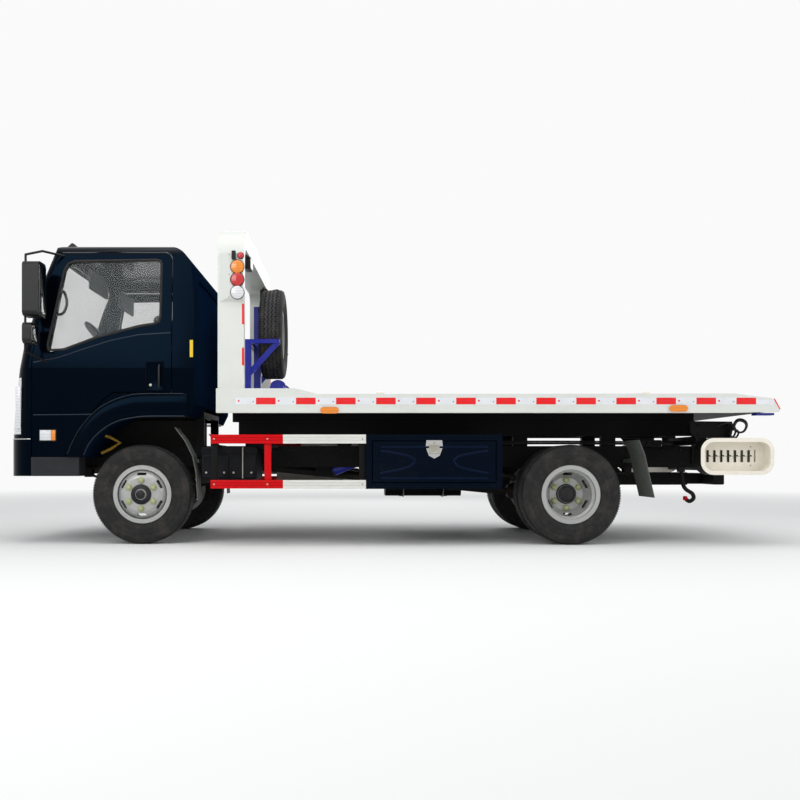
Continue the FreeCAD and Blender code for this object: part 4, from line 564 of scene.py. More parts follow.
nut_circle = 0.111
for axle, x, disc_y, hub_y, cap_y, cap_radius in (
    ("wheel_front_", front_axle, 0.94, 0.951, 0.975, 0.036), ("wheels_rear_", rear_axle, 0.81, 0.846, 0.864, 0.058),
):
    for end, side in (("left", 1), ("right", -1)):
        body = axle + end
        nuts = []
        for index in range(6):
            angle = math.radians(60 * index + 30)
            nut_x, nut_z = x + nut_circle * math.cos(angle), wheel_z + nut_circle * math.sin(angle)
            nuts.append(facets("nut", (nut_x, side * (disc_y + 0.011), nut_z), 0.0215, 0.026, dome=side * 0.005))
            nuts.append(facets("washer", (nut_x, side * (disc_y + 0.002), nut_z), 0.0265, 0.004, 24))
        settle(joined(body + "_nuts", nuts), nut_yellow, body)
        cap, sleeve, collar = [(x, side * y, wheel_z) for y in (cap_y - 0.014, (disc_y + hub_y) / 2, disc_y + 0.003)]
        settle(joined(body + "_hub_cap", [
            facets("cap", cap, cap_radius, 0.028, 40, dome=side * 0.004, bevel=0.005),
            facets("sleeve", sleeve, 0.068, hub_y - disc_y, 48, bevel=0.003),
            facets("collar", collar, 0.08, 0.006, 48, bevel=0.002),
        ]), hub_dark, body)


# Window seals: black extruded rubber pressed on the glass edges, a little proud of the paint.
def tube(name, points, radius, closed=False, sides=3):
    """A round bar along typed points, made a mesh."""
    curve = bpy.data.curves.new(name, "CURVE")
    curve.dimensions = "3D"
    curve.bevel_depth = radius
    curve.bevel_resolution = sides
    curve.use_fill_caps = True
    line = curve.splines.new("POLY")
    line.points.add(len(points) - 1)
    for point, place in zip(line.points, points):
        point.co = (*place, 1.0)
    line.use_cyclic_u = closed
    piece = bpy.data.objects.new(name, curve)
    bpy.context.scene.collection.objects.link(piece)
    activate(piece)
    bpy.ops.object.convert(target="MESH")
    piece = bpy.context.object
    bpy.ops.object.shade_smooth_by_angle(angle=math.radians(50))
    return piece


def between(z, heights, values):
    """A value at a height, on straight lines between typed heights."""
    value = values[0]
    for low, high, start, end in zip(heights, heights[1:], values, values[1:]):
        if z > low:
            value = start + (end - start) * min(1.0, (z - low) / (high - low))
    return value


def side_y(z, proud=0.0):
    """Where the cab's side stands at a height: upright below the belt, leaning in above it."""
    return between(z, (1.38, 1.524, 2.059, 2.45), (0.965, 0.96, 0.935, 0.915)) + proud


def nose_x(z, y):
    """Where the cab's front stands at a height and a distance from the middle."""
    heights = (0.45, 0.9, 1.14, 1.38, 1.524, 2.059, 2.45)
    front = between(z, heights, (1.075, 1.071, 1.052, 1.004, 0.972, 0.812, 0.654))
    bow = 0.03 if z < 1.3 else 0.024
    return front_axle + front - bow * min(1.0, abs(y) / 0.85) ** 2


window_corners = [
    (0.721, 1.52), (0.603, 1.524), (0.33, 1.626), (0.014, 1.709), (-0.104, 1.727), (-0.143, 1.745), (-0.152, 1.775),
    (-0.159, 2.2), (-0.148, 2.224), (-0.12, 2.232), (0.52, 2.222), (0.575, 2.202), (0.604, 2.15), (0.728, 1.56),
]
seal = tube("door_seal_left", [(front_axle + x, side_y(z, -0.004), z) for x, z in window_corners], 0.011, closed=True)
both(seal, rubber_black, "door_left")
windscreen_frame = [
    (-0.82, 1.56), (-0.835, 1.64), (-0.835, 2.2), (-0.8, 2.28), (0.8, 2.28), (0.835, 2.2), (0.835, 1.64),
    (0.82, 1.56), (0.75, 1.545), (-0.75, 1.545),
]
corners = []
for index in range(10):
    start, end = windscreen_frame[index], windscreen_frame[(index + 1) % 10]
    for step in range(6):
        y = start[0] + (end[0] - start[0]) * step / 6
        z = start[1] + (end[1] - start[1]) * step / 6
        corners.append((nose_x(z, y) - 0.003, y, z))
seal = tube("windscreen_seal", corners, 0.011, closed=True)
settle(seal, rubber_black, "cab")


# Wipers: two bent arms of painted steel rod, each holding a rubber blade flat on the windscreen.
for count, pivot in enumerate((0.52, -0.18)):
    rests = [(nose_x(1.6, y) + 0.004, y, 1.6 - 0.06 * (y - pivot)) for y in (pivot - 0.6, pivot - 0.3, pivot)]
    blade = tube("blade", rests, 0.006)
    arm = tube("arm", [
        (nose_x(1.535, pivot) + 0.006, pivot + 0.02, 1.53), (nose_x(1.56, pivot) + 0.012, pivot - 0.08, 1.57),
        (nose_x(1.62, pivot) + 0.012, pivot - 0.3, 1.618),
    ], 0.007)
    boss = facets("boss", (nose_x(1.53, pivot) + 0.004, pivot + 0.02, 1.53), 0.018, 0.02, 20, axis="X", dome=0.003)
    settle(joined("wiper_" + str(count), [blade, arm, boss]), trim_black, "cab")


# Pressed and moulded trim: a block with rounded edges and a raised or sunk middle, as a die leaves it.
def pressed(name, low, high, edge=0.004, face="", margin=0.0, rise=0.0, segments=3):
    """A rounded block; the side named by face gets an inset panel that stands proud or sunk by rise."""
    middle = [(a + b) / 2 for a, b in zip(low, high)]
    bpy.ops.mesh.primitive_cube_add(size=1.0, location=middle)
    piece = bpy.context.object
    piece.name = name
    piece.scale = [b - a for a, b in zip(low, high)]
    bpy.ops.object.transform_apply(location=True, rotation=True, scale=True)
    if face:
        pick_side(piece, face[1], face[0] == "+")
        bpy.ops.mesh.inset(thickness=margin, depth=0.0)
        bpy.ops.mesh.inset(thickness=abs(rise), depth=rise)
        bpy.ops.object.mode_set(mode="OBJECT")
    round_edges(piece, edge, segments)
    bpy.ops.object.shade_smooth_by_angle(angle=math.radians(40))
    return piece


def prism(name, points):
    """A closed form between two typed outlines with the same number of corners."""
    count = len(points) // 2
    faces = [tuple(range(count)), tuple(reversed(range(count, 2 * count)))]
    faces += [(i, (i + 1) % count, (i + 1) % count + count, i + count) for i in range(count)]
    return start_mesh(name, points, faces=faces)


def plate(name, outline, y0, y1, edge):
    """A flat plate from a typed outline in side view, from y0 to y1, with a rounded edge."""
    piece = prism(name, [(x, y, z) for y in (y0, y1) for x, z in outline])
    round_edges(piece, edge, 3, 60)
    return tidy_mesh(piece, 40)


# Door furniture: black handle surround with its upright grip, a zinc lock, a belt-line crease in the
# pressing, and a clear and amber side lamp on the lower front corner.
low, high = (front_axle - 0.184, 0.9585, 1.198), (front_axle - 0.037, 0.9705, 1.433)
surround = pressed("door_handle_surround_left", low, high, 0.006, "+Y", 0.012, -0.006)
grip_line = [(0.962, 1.228), (0.9775, 1.252), (0.9785, 1.38), (0.962, 1.404)]
grip = tube("door_handle_grip_left", [(front_axle - 0.146, y, z) for y, z in grip_line], 0.0085)
both(surround, navy, "door_left")
both(grip, trim_black, "door_left")
lock = facets("door_lock_left", (front_axle - 0.08, 0.968, 1.245), 0.012, 0.012, 24, dome=0.002)
both(lock, zinc, "door_left")
crease_line = [(-0.232, 1.655), (0.014, 1.64), (0.236, 1.595), (0.446, 1.528), (0.64, 1.462), (0.838, 1.422)]
crease = tube("door_crease_left", [(front_axle + x, side_y(z, -0.0045), z) for x, z in crease_line], 0.0075)
both(crease, navy_edge, "door_left")
low_line = [(-0.232, 1.02), (0.2, 1.018), (0.838, 1.012)]
crease = tube("door_low_crease_left", [(front_axle + x, 0.9605, z) for x, z in low_line], 0.006)
both(crease, navy_edge, "door_left")
lamp_x0, lamp_x1, lamp_z0, lamp_z1 = front_axle + 0.655, front_axle + 0.79, 0.806, 0.9
low, high = (lamp_x0, 0.962, lamp_z0), (lamp_x1, 0.974, lamp_z1)
base = pressed("side_lamp_left_base", low, high, 0.005, "+Y", 0.006, -0.003)
both(base, trim_black, "door_left")
for colour, x0, x1 in (("clear", lamp_x0 + 0.042, lamp_x1 - 0.007), ("amber", lamp_x0 + 0.007, lamp_x0 + 0.04)):
    low, high = (x0, 0.967, lamp_z0 + 0.008), (x1, 0.9775, lamp_z1 - 0.008)
    both(pressed("side_lamp_left_" + colour, low, high, 0.004, "+Y", 0.01, 0.002), lenses[colour], "door_left")


# Wheel arches: a flared lip round each front wheel, a smooth curved band pressed out of the cab's
# steel with a rolled inner edge. It is laid over the cab's own flare.
def smooth_line(points, steps):
    """Points along a smooth curve through typed ones."""
    line = []
    for index in range(len(points) - 1):
        a, b = points[max(index - 1, 0)], points[index]
        c, d = points[index + 1], points[min(index + 2, len(points) - 1)]
        for step in range(steps):
            t = step / steps
            line.append(tuple(
                0.5 * (2 * q + (r - p) * t + (2 * p - 5 * q + 4 * r - s) * t * t + (3 * q - p - 3 * r + s) * t ** 3)
                for p, q, r, s in zip(a, b, c, d)
            ))
    return line + [points[-1]]


outer_line = smooth_line([
    (0.576, 0.686), (0.525, 0.806), (0.458, 0.92), (0.356, 1.035), (0.24, 1.112), (0.11, 1.16), (-0.01, 1.176),
    (-0.19, 1.177), (-0.362, 1.177),
], 5)
inner_line = smooth_line([
    (0.444, 0.686), (0.402, 0.781), (0.334, 0.862), (0.249, 0.928), (0.148, 0.972), (0.012, 0.996), (-0.1, 1.001),
    (-0.24, 1.001), (-0.362, 1.001),
], 5)
section = [(0.0, 0.966), (0.03, 0.9745), (0.12, 0.9795), (0.5, 0.9815), (0.88, 0.9795), (0.97, 0.9745), (1.0, 0.966)]
ring = []
for (x0, z0), (x1, z1) in zip(outer_line, inner_line):
    for share, y in section:
        ring.append((front_axle + x0 + (x1 - x0) * share, y, z0 + (z1 - z0) * share))
rows = len(outer_line)
faces = [(7 * i + k, 7 * i + k + 1, 7 * i + k + 8, 7 * i + k + 7) for i in range(rows - 1) for k in range(6)]
faces += [(7 * i, 7 * i + 7, 7 * i + 13, 7 * i + 6) for i in range(rows - 1)]
faces += [tuple(range(7)), tuple(reversed(range(7 * rows - 7, 7 * rows)))]
both(tidy_mesh(start_mesh("arch_flare_left", ring, faces=faces), 50), navy, "cab")
lip = tube("arch_lip_left", [(front_axle + x, 0.9795, z) for x, z in outer_line[1:-1]], 0.0045)
both(lip, navy_edge, "cab")
lip = tube("arch_edge_left", [(front_axle + x, 0.977, z) for x, z in inner_line[1:-1]], 0.0065)
both(lip, navy_edge, "cab")

# Mirrors: silvered glass in moulded black housings, facing back along the truck.
for name, x, z0, z1 in (("main", 0.7035, 1.775, 2.135), ("small", 0.7605, 1.562, 1.678)):
    low, high = (front_axle + x, 1.078, z0), (front_axle + (x + 0.005), 1.222, z1)
    both(pressed("mirror_left_glass_" + name, low, high, 0.002, "-X", 0.012, 0.001), chrome, "door_left")

# Steps: the panel across each step well, and ribbed tread bars with studs on the step's floor.
low, high = (front_axle + 0.482, 0.9565, 0.537), (front_axle + 0.853, 0.9655, 0.673)
panel = pressed("step_panel_left", low, high, 0.006, "+Y", 0.01, -0.002)
both(panel, step_grey, "cab")
tread_x0, tread_x1 = front_axle + 0.53, front_axle + 0.8
tread = []
for y in (0.858, 0.888, 0.918):
    tread.append(pressed("tread", (tread_x0, y, 0.5745), (tread_x1, y + 0.014, 0.5805), 0.0015))
for index in range(9):
    stud = (front_axle + 0.545 + 0.03 * index, 0.95, 0.578)
    tread.append(facets("stud", stud, 0.006, 0.008, 12, axis="Z", dome=0.001))
both(joined("step_tread_left", tread), step_grey, "cab")


# Bed underside: the cross beams, long beams and the plate's lower face, the faces that look down or inward under the
# deck, are given chassis black instead of white as painted shade.
def is_bed_underside(face):
    below = face.center.z < 1.128 or face.normal.z < -0.5
    return abs(face.center.y) < 1.1095 and face.normal.z < 0.5 and below


dress_faces("bed_deck", chassis_black, is_bed_underside)


# Bed markings: a strip of white reflective tape along each rail with red blocks every 305 mm and small
# registration dots, amber side markers, red tape along the tail's slanted edge, and a cream lower lip.
bed_side = 1.15
tape_back, red_face, white_face = bed_side - 0.001, bed_side + 0.0008, bed_side + 0.0007
tape_low, tape_high = 1.083, 1.134
reds, whites, dots, marks = [], [], [], []
for index in range(13):
    start = front_axle - 0.923 - 0.305 * index
    reds.append(pressed(
        "red", (start - 0.149, tape_back, tape_low), (start, red_face, tape_high), 0.0004, segments=1))
    whites.append(pressed(
        "white", (start + 0.0005, tape_back, tape_low), (start + 0.1555, white_face, tape_high), 0.0003, segments=1))
    dots.append(facets("dot", (start + 0.132, bed_side + 0.0006, 1.11), 0.0075, 0.0012, 16, bevel=0.0002))
    mark = (start + 0.022, red_face, 1.104)
    marks.append(facets("mark", mark, 0.006, 0.0016, 12, bevel=0.0003, dome=0.0004))
tail_white = pressed(
    "white", (front_axle - 4.87, tape_back, tape_low), (front_axle - 4.7335, white_face, 1.118), 0.0003, segments=1)
both(joined("bed_tape_red_left", reds + dots), tape_red, "bed")
both(joined("bed_tape_white_left", whites + [tail_white]), tape_white, "bed")
both(joined("bed_tape_rivets_left", marks), zinc, "bed")
tail_edge = [(-2.9535, 1.126), (-2.9965, 1.048), (-2.9875, 1.046), (-2.9445, 1.124)]
edge = prism("bed_tail_tape_left", [(x, y, z) for y in (tape_back, red_face) for x, z in tail_edge])
both(tidy_mesh(edge), tape_red, "bed")
pill_end = 0.0185
for place, x, z in (("front", front_axle - 1.483, 1.038), ("rear", front_axle - 4.138, 1.052)):
    name = "bed_side_marker_" + place + "_left"
    pill = []
    for dx, start in ((0.046, -90), (-0.046, 90)):
        for angle in [math.radians(start + 22.5 * k) for k in range(9)]:
            pill.append((x + dx + pill_end * math.cos(angle), z + pill_end * math.sin(angle)))
    rim = [(x + (px - x) * 1.02, z + (pz - z) * 1.08) for px, pz in pill]
    glass = plate(name + "_lens", pill, tape_back, bed_side + 0.015, 0.006)
    base = plate(name + "_base", rim, bed_side - 0.002, bed_side + 0.003, 0.0012)
    both(base, trim_black, "bed")
    both(glass, amber_lens, "bed")
lip = tube("bed_lower_lip_left", [(x, 1.1435, 1.0235) for x in (front_axle - 0.622, -2.645)], 0.0062)
both(lip, cream, "bed")


# Deck surface: rolled tread plate with raised diamonds in four butted sheets, two rows of lashing slots
# with pressed rims on each side, low cream blocks on the rails, and blue slide pads under the tail.
def tread_plate(name, colour, pitch_mm=42.0):
    material, tree, where = new_material(name)
    turned = add_node(tree, "Mapping", {"Vector": where}, Rotation=(0, 0, math.radians(45)))
    split = add_node(tree, "SeparateXYZ", {0: turned.outputs[0]}).outputs
    heights = []
    for main, other, shift in (("X", "Y", 0.0), ("Y", "X", 0.5)):
        across = []
        for axis, sharp in ((main, 2.2), (other, 6.5)):
            cell = maths(tree, "ADD", maths(tree, "MULTIPLY", split[axis], 1000.0 / pitch_mm), shift)
            centred = maths(tree, "SUBTRACT", maths(tree, "FRACT", cell), 0.5)
            stretched = maths(tree, "MULTIPLY", centred, sharp)
            across.append(maths(tree, "MULTIPLY", stretched, stretched))
        heights.append(remap(tree, maths(tree, "ADD", *across), 0.75, 1.0, 1.0, 0.0))
    height = maths(tree, "MAXIMUM", *heights)
    patch = remap(tree, noise(tree, where, 3.0, 7.0, 0.7), 0.45, 0.75, to_max=0.4)
    dirt = tint(tree, patch, colour, "#7f786b")
    worn = add_node(tree, "Mix", {"Factor": height, 6: dirt}, data_type="RGBA", blend_type="MULTIPLY")
    worn.inputs[7].default_value = linear("#c9cac8")
    links = {"Base Color": worn.outputs[2], "Normal": relief(tree, height, 0.9, 0.0025)}
    return surfaced(material, tree, links, Roughness=0.42)


tread = tread_plate("deck_tread_plate_white", "#d0d2cd")
plates = []
for index in range(4):
    x1 = 1.085 - 0.93 * index
    plates.append(pressed("plate", (x1 - 0.926, -1.108, 1.1397), (x1, 1.108, 1.1412), 0.0005, segments=1))
settle(joined("bed_deck_tread", plates), tread, "bed")
rims, holes, stops, pads = [], [], [], []
for side in (-1, 1):
    for y in (side * 0.46, side * 0.98):
        for x in [0.86 - 0.4 * index for index in range(9)]:
            low, high = (x - 0.052, y - 0.019, 1.1405), (x + 0.052, y + 0.019, 1.1436)
            rims.append(pressed("rim", low, high, 0.0014, "+Z", 0.004, -0.001))
            low, high = (x - 0.042, y - 0.009, 1.1408), (x + 0.042, y + 0.009, 1.144)
            holes.append(pressed("hole", low, high, 0.0006, segments=1))
    y = side * 1.128
    for x in (front_axle - 1.872, front_axle - 3.9):
        stops.append(pressed("stop", (x - 0.03, y - 0.018, 1.16), (x + 0.03, y + 0.018, 1.184), 0.008))
    y = side * 1.04
    low, high = (front_axle - 4.9, y - 0.045, 1.004), (front_axle - 4.762, y + 0.045, 1.021)
    pads.append(pressed("pad", low, high, 0.004, "+Y", 0.004, -0.001))
settle(joined("bed_lashing_rims", rims), white, "bed")
settle(joined("bed_lashing_slots", holes), slot_dark, "bed")
settle(joined("bed_rail_pads", stops), cream, "bed")
settle(joined("bed_tail_slide_pads", pads), royal_blue, "bed")

# Tail ramp: six round grip bars welded across it, each laid at the height of the CAD ramp below it.
grips = []
for index in range(6):
    x = -2.7 - 0.05 * index
    hit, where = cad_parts["bed_deck"].ray_cast(Vector((x, 0.3, 2.0)), Vector((0, 0, -1)))[:2]
    if hit:
        grips.append(tube("grip", [(x, y, where.z + 0.0005) for y in (-1.09, 0.0, 1.09)], 0.0035))
settle(joined("bed_ramp_grips", grips), white, "bed")


# Headboard lamps: on each lamp box a black switch block, a small red marker, and amber, red and clear
# domed lamps, each a ribbed acrylic lens in a black rubber ring screwed to the enamelled box.
lamp_side = 1.1457
rings, domes = [], {"amber": [], "red": [], "clear": []}
for colour, x, z, radius in (
    ("amber", 1.1416, 2.132, 0.055), ("red", 1.1416, 2.035, 0.055), ("clear", 1.1416, 1.936, 0.055),
    ("red", 1.1165, 2.217, 0.027),
):
    rings.append(facets("ring", (x, lamp_side + 0.004, z), radius, 0.012, 40, bevel=0.003))
    crown = [(radius * share, y) for share, y in ((0.86, 0.0135), (0.6, 0.0185), (0.3, 0.021), (0.0, 0.0217))]
    dome = spun("dome", [(0.0, 0.0), (radius - 0.004, 0.0), (radius - 0.004, 0.008)] + crown, 40)
    dome.data.transform(Matrix.Translation((x, lamp_side + 0.002, z)))
    domes[colour].append(dome)
low, high = (1.154, lamp_side - 0.002, 2.186), (1.184, lamp_side + 0.022, 2.252)
block = pressed("block", low, high, 0.004, "+Y", 0.005, -0.003)
both(joined("headboard_lamp_rings_left", rings + [block]), rubber_black, "bed", "headboard_lamps")
for colour, finish in lenses.items():
    both(joined("headboard_lamp_" + colour + "_left", domes[colour]), finish, "bed")
screw_places = [(x, lamp_side + 0.001, z) for x in (1.205, 1.106) for z in (1.905, 2.075, 2.226)]
screws = [facets("screw", place, 0.005, 0.004, 12, dome=0.001) for place in screw_places]
both(joined("headboard_lamp_screws_left", screws), zinc, "bed")
strips = []
for low, high in ((1.7, 1.858), (1.385, 1.52)):
    strips.append(pressed("strip", (1.096, 1.08, low), (1.0976, 1.106, high), 0.0004, segments=1))
    strips.append(pressed("strip", (1.0975, 1.1093, low), (1.112, 1.1103, high), 0.0003, segments=1))
both(joined("headboard_strip_left", strips), tape_red, "bed")

# Work lamps: black die-cast floodlights on bent rod brackets under the headboard's beam, facing the deck.
for side, name in ((1, "left"), (-1, "right")):
    y = side * 0.7
    low, high = (1.085, y - 0.075, 2.196), (1.135, y + 0.075, 2.292)
    body = pressed("housing", low, high, 0.008, "-X", 0.008, -0.004)
    fins = []
    for step in [0.022 * i for i in range(7)]:
        low, high = (1.132, y - 0.066 + step, 2.205), (1.155, y - 0.06 + step, 2.284)
        fins.append(pressed("fin", low, high, 0.002, segments=1))
    bends = ((-0.082, 2.244), (-0.082, 2.303), (0.082, 2.303), (0.082, 2.244))
    bracket = tube("bracket", [(1.118, y + dy, z) for dy, z in bends], 0.0055)
    settle(joined("work_lamp_" + name + "_housing", [body] + fins + [bracket]), trim_black, "bed")
    low, high = (1.0835, y - 0.062, 2.209), (1.0895, y + 0.062, 2.279)
    face = pressed("work_lamp_" + name + "_lens", low, high, 0.003, "-X", 0.006, 0.001)
    settle(face, clear_lens, "bed")

# Roof marker lamps: black moulded wedges with an amber lens facing forward, on the cab roof's front edge.
for side, name in ((1, "left"), (-1, "right")):
    y = side * 0.6
    points = [
        (2.522, y - 0.045, 2.352), (2.612, y - 0.045, 2.33), (2.604, y - 0.038, 2.395), (2.56, y - 0.032, 2.438),
        (2.53, y - 0.032, 2.42),
    ]
    points += [(x, 2 * y - far_y, z) for x, far_y, z in points]
    faces = [(0, 1, 2, 3, 4), (9, 8, 7, 6, 5)] + [(i, i + 5, (i + 1) % 5 + 5, (i + 1) % 5) for i in range(5)]
    wedge = start_mesh("roof_marker_" + name, points, faces=faces)
    round_edges(wedge, 0.007, 3)
    settle(tidy_mesh(wedge, 40), trim_black, "cab", "roof_lamps")
    low, high = (2.588, y - 0.03, 2.352), (2.6135, y + 0.03, 2.392)
    face = pressed("roof_marker_" + name + "_lens", low, high, 0.005, "+X", 0.006, 0.001)
    settle(face, amber_lens, "cab")

# Spare wheel fastening: six zinc nuts, and a black rubber-covered cable with its end cap, drawn from the
# carrier over the top of the tyre.
nuts = []
for index in range(6):
    angle = math.radians(60 * index + 30)
    place = (spare_x + 0.062, nut_circle * math.cos(angle), spare_z + nut_circle * math.sin(angle))
    nuts.append(facets("nut", place, 0.0165, 0.02, 6, axis="X", dome=0.004))
settle(joined("spare_wheel_nuts", nuts), zinc, "bed")
cable = tube("cable", [
    (1.072, 0.13, 1.985), (1.04, 0.1, 2.06), (0.99, 0.05, 2.148), (0.94, 0.0, 2.168), (0.88, -0.03, 2.15),
], 0.006)
cap = facets("cap", (1.072, 0.13, 1.965), 0.02, 0.05, 24, axis="Z", bevel=0.004)
settle(joined("spare_wheel_cable", [cable, cap]), rubber_black, "bed")


# Side guards: rolled two-groove steel rails, enamelled red at the front and white behind, each a grooved
# outline drawn along the truck. One post is red, and the others and all arms are chassis black.
def grooved_rail(name, x0, x1, z0, z1):
    """A rail with two long grooves in its outer face, from x0 to x1."""
    depth, groove, face = 0.028, 0.0045, 1.13
    step = (z1 - z0) / 10
    outline = [(face - depth, z0), (face - 0.003, z0), (face, z0 + 0.003)]
    for start in (3, 6):
        low = z0 + step * start
        outline += [(face, low), (face - groove, low + step * 0.25)]
        outline += [(face - groove, low + step * 0.75), (face, low + step)]
    outline += [(face, z1 - 0.003), (face - 0.003, z1), (face - depth, z1)]
    return tidy_mesh(prism(name, [(x, y, z) for x in (x0, x1) for y, z in outline]), 20)


paint_change = front_axle - 1.127
arm_z, arm_height = 0.759, 0.018
post_half, red_post = 0.0265, 0.9145
for side, last in (("left", 0.1615), ("right", -0.8815)):
    reds, whites, blacks = [], [], []
    for z0, z1 in ((0.785, 0.854), (0.441, 0.506)):
        reds.append(grooved_rail("red", paint_change, 1.3495, z0, z1))
        whites.append(grooved_rail("white", last, paint_change, z0, z1))
    posts = [1.323, red_post, 0.188] + ([-0.855] if side == "right" else [])
    for x in posts:
        x0, x1 = x - post_half, x + post_half
        post = pressed("post", (x0, 1.082, 0.446), (x1, 1.102, 0.85), 0.004)
        (reds if x == red_post else blacks).append(post)
        blacks.append(pressed("arm", (x0, 0.375, arm_z), (x1, 1.084, arm_z + arm_height), 0.003))
    bolts = [facets("bolt", (x, 1.1265, z), 0.0085, 0.006, dome=0.0015) for x in posts for z in (0.8195, 0.4735)]
    for finish, pieces in ((guard_red, reds), (guard_white, whites), (zinc, bolts), (chassis_black, blacks)):
        piece = joined("side_guard_" + finish.name.split("_")[-1] + "_" + side, pieces)
        if side == "right":
            mirror(piece)
        settle(piece, finish, "chassis", "side_guards")

# Toolbox door: sheet steel pressed with two long ribs and two broad chevrons, with a zinc paddle latch on
# a chromed shield-shaped plate at the top middle, and folded drip edges above and below.
tool_x0, tool_x1 = front_axle - 2.804, front_axle - 1.761
door_face = 1.13
rib_back, rib_face, tip_z = door_face - 0.002, door_face + 0.005, 0.65
ribs = []
for z in (0.519, 0.757):
    low, high = (tool_x0 + 0.11, rib_back, z - 0.009), (tool_x1 - 0.11, rib_face, z + 0.009)
    ribs.append(pressed("rib", low, high, 0.0045))
middle = (tool_x0 + tool_x1) / 2
for side in (-1, 1):
    for z in (0.556, 0.728):
        bend = [(0.413, z), (0.3, z + (tip_z - z) * 0.22), (0.19, z + (tip_z - z) * 0.55), (0.145, tip_z)]
        line = [(middle + side * reach, door_face - 0.005, height) for reach, height in bend]
        ribs.append(tube("rib", smooth_line(line, 5), 0.0125))
# The ribs and chevrons take the lighter rib blue, a painted highlight on the pressings.
settle(joined("toolbox_door_ribs", ribs), rib_painted_highlight_blue, "toolbox_door")
trims = []
for z0, z1 in ((0.832, 0.842), (0.452, 0.46)):
    low, high = (tool_x0 + 0.01, rib_back, z0), (tool_x1 - 0.01, door_face + 0.004, z1)
    trims.append(pressed("edge", low, high, 0.002))
settle(joined("toolbox_door_edges", trims), toolbox_navy, "chassis")
shield_line = [
    (-0.058, 0.808), (0.058, 0.808), (0.064, 0.76), (0.04, 0.694), (0.0, 0.672), (-0.04, 0.694), (-0.064, 0.76),
]
shield_ys = (door_face - 0.001, door_face + 0.004)
shield = prism("toolbox_latch_shield", [(middle + x, y, z) for y in shield_ys for x, z in shield_line])
round_edges(shield, 0.0018, 2)
tidy_mesh(shield, 40)
low, high = (middle - 0.04, door_face + 0.003, 0.708), (middle + 0.04, door_face + 0.013, 0.778)
paddle = pressed("paddle", low, high, 0.006, "+Y", 0.008, -0.003)
key = facets("key", (middle, door_face + 0.006, 0.793), 0.0095, 0.01, 24, dome=0.001)
settle(shield, chrome, "toolbox_door")
settle(joined("toolbox_latch_paddle", [paddle, key]), zinc, "toolbox_door")

# Lever boxes: cream enamelled recesses with lever slots as black plates of painted shadow, short levers with ball
# knobs, a black guide line and small screws in each corner of the panel.
panel_y = 1.14 - 0.107
first_slot = tail_x + 0.043 + 0.561 - 0.034 - 0.006
slots, screws, levers, knobs = [], [], [], []
for index in range(8):
    x = first_slot - 0.053 * index
    # Each slot is a dark plate on the panel: painted shadow of the opening.
    low, high = (x - 0.0065, panel_y - 0.001, 0.6425), (x + 0.0065, panel_y + 0.0014, 0.7355)
    slots.append(pressed("slot", low, high, 0.0006, segments=1))
    levers.append(tube("lever", [(x, panel_y - 0.004, 0.689), (x, panel_y + 0.03, 0.692)], 0.0032))
    knobs.append(facets("knob", (x, panel_y + 0.034, 0.692), 0.0062, 0.01, 16, dome=0.002, bevel=0.002))
low, high = (first_slot - 0.381, panel_y - 0.001, 0.6875), (first_slot - 0.048, panel_y + 0.0016, 0.6895)
slots.append(pressed("line", low, high, 0.0004, segments=1))
for x in (first_slot + 0.008, first_slot - 0.379):
    for z in (0.618, 0.763):
        screws.append(facets("screw", (x - 0.004, panel_y + 0.001, z), 0.0055, 0.004, 12, dome=0.001))
both(joined("lever_slots_left", slots), slot_black, "chassis")
both(joined("levers_left", levers + screws), zinc, "chassis", slot="rod_chrome")
both(joined("lever_knobs_left", knobs), trim_black, "chassis")


# Cab front: satin-chrome grille slats on a black field, a chrome strip over the bumper, three chrome
# bowls with their bulbs in each headlamp, a clear side lens, fog lamps, and a blank number plate.
slats = []
for count, z in enumerate((0.93, 0.974, 1.018, 1.062, 1.102)):
    line = [(nose_x(z, y) - 0.006, y, z) for y in [0.645 * k / 12 for k in range(-12, 13)]]
    slats.append(tube("slat", line, 0.0085 if count in (0, 4) else 0.006))
settle(joined("grille_slats", slats), bright, "cab")
mesh_bars = []
for y in [index * 0.03 for index in range(-21, 22)]:
    mesh_bars.append(tube("bar", [(nose_x(z, y) - 0.013, y, z) for z in (0.92, 1.016, 1.112)], 0.003, sides=1))
settle(joined("grille_mesh", mesh_bars), trim_black, "cab")


def around_corner(z, back_x, out):
    """A line at one height from the left side round the corner and across the front to the right side."""
    corner = 0.17
    nose = nose_x(z, 0.795)
    line = [(back_x, 0.965 + out, z)]
    for degrees in range(0, 81, 10):
        angle = math.radians(degrees)
        line.append((nose - corner + (corner + out) * math.sin(angle), 0.795 + (corner + out) * math.cos(angle), z))
    line += [(nose_x(z, y) + out, y, z) for y in (0.7, 0.55, 0.35, 0.15, 0.0)]
    return line + [(x, -y, z) for x, y, z in reversed(line[:-1])]


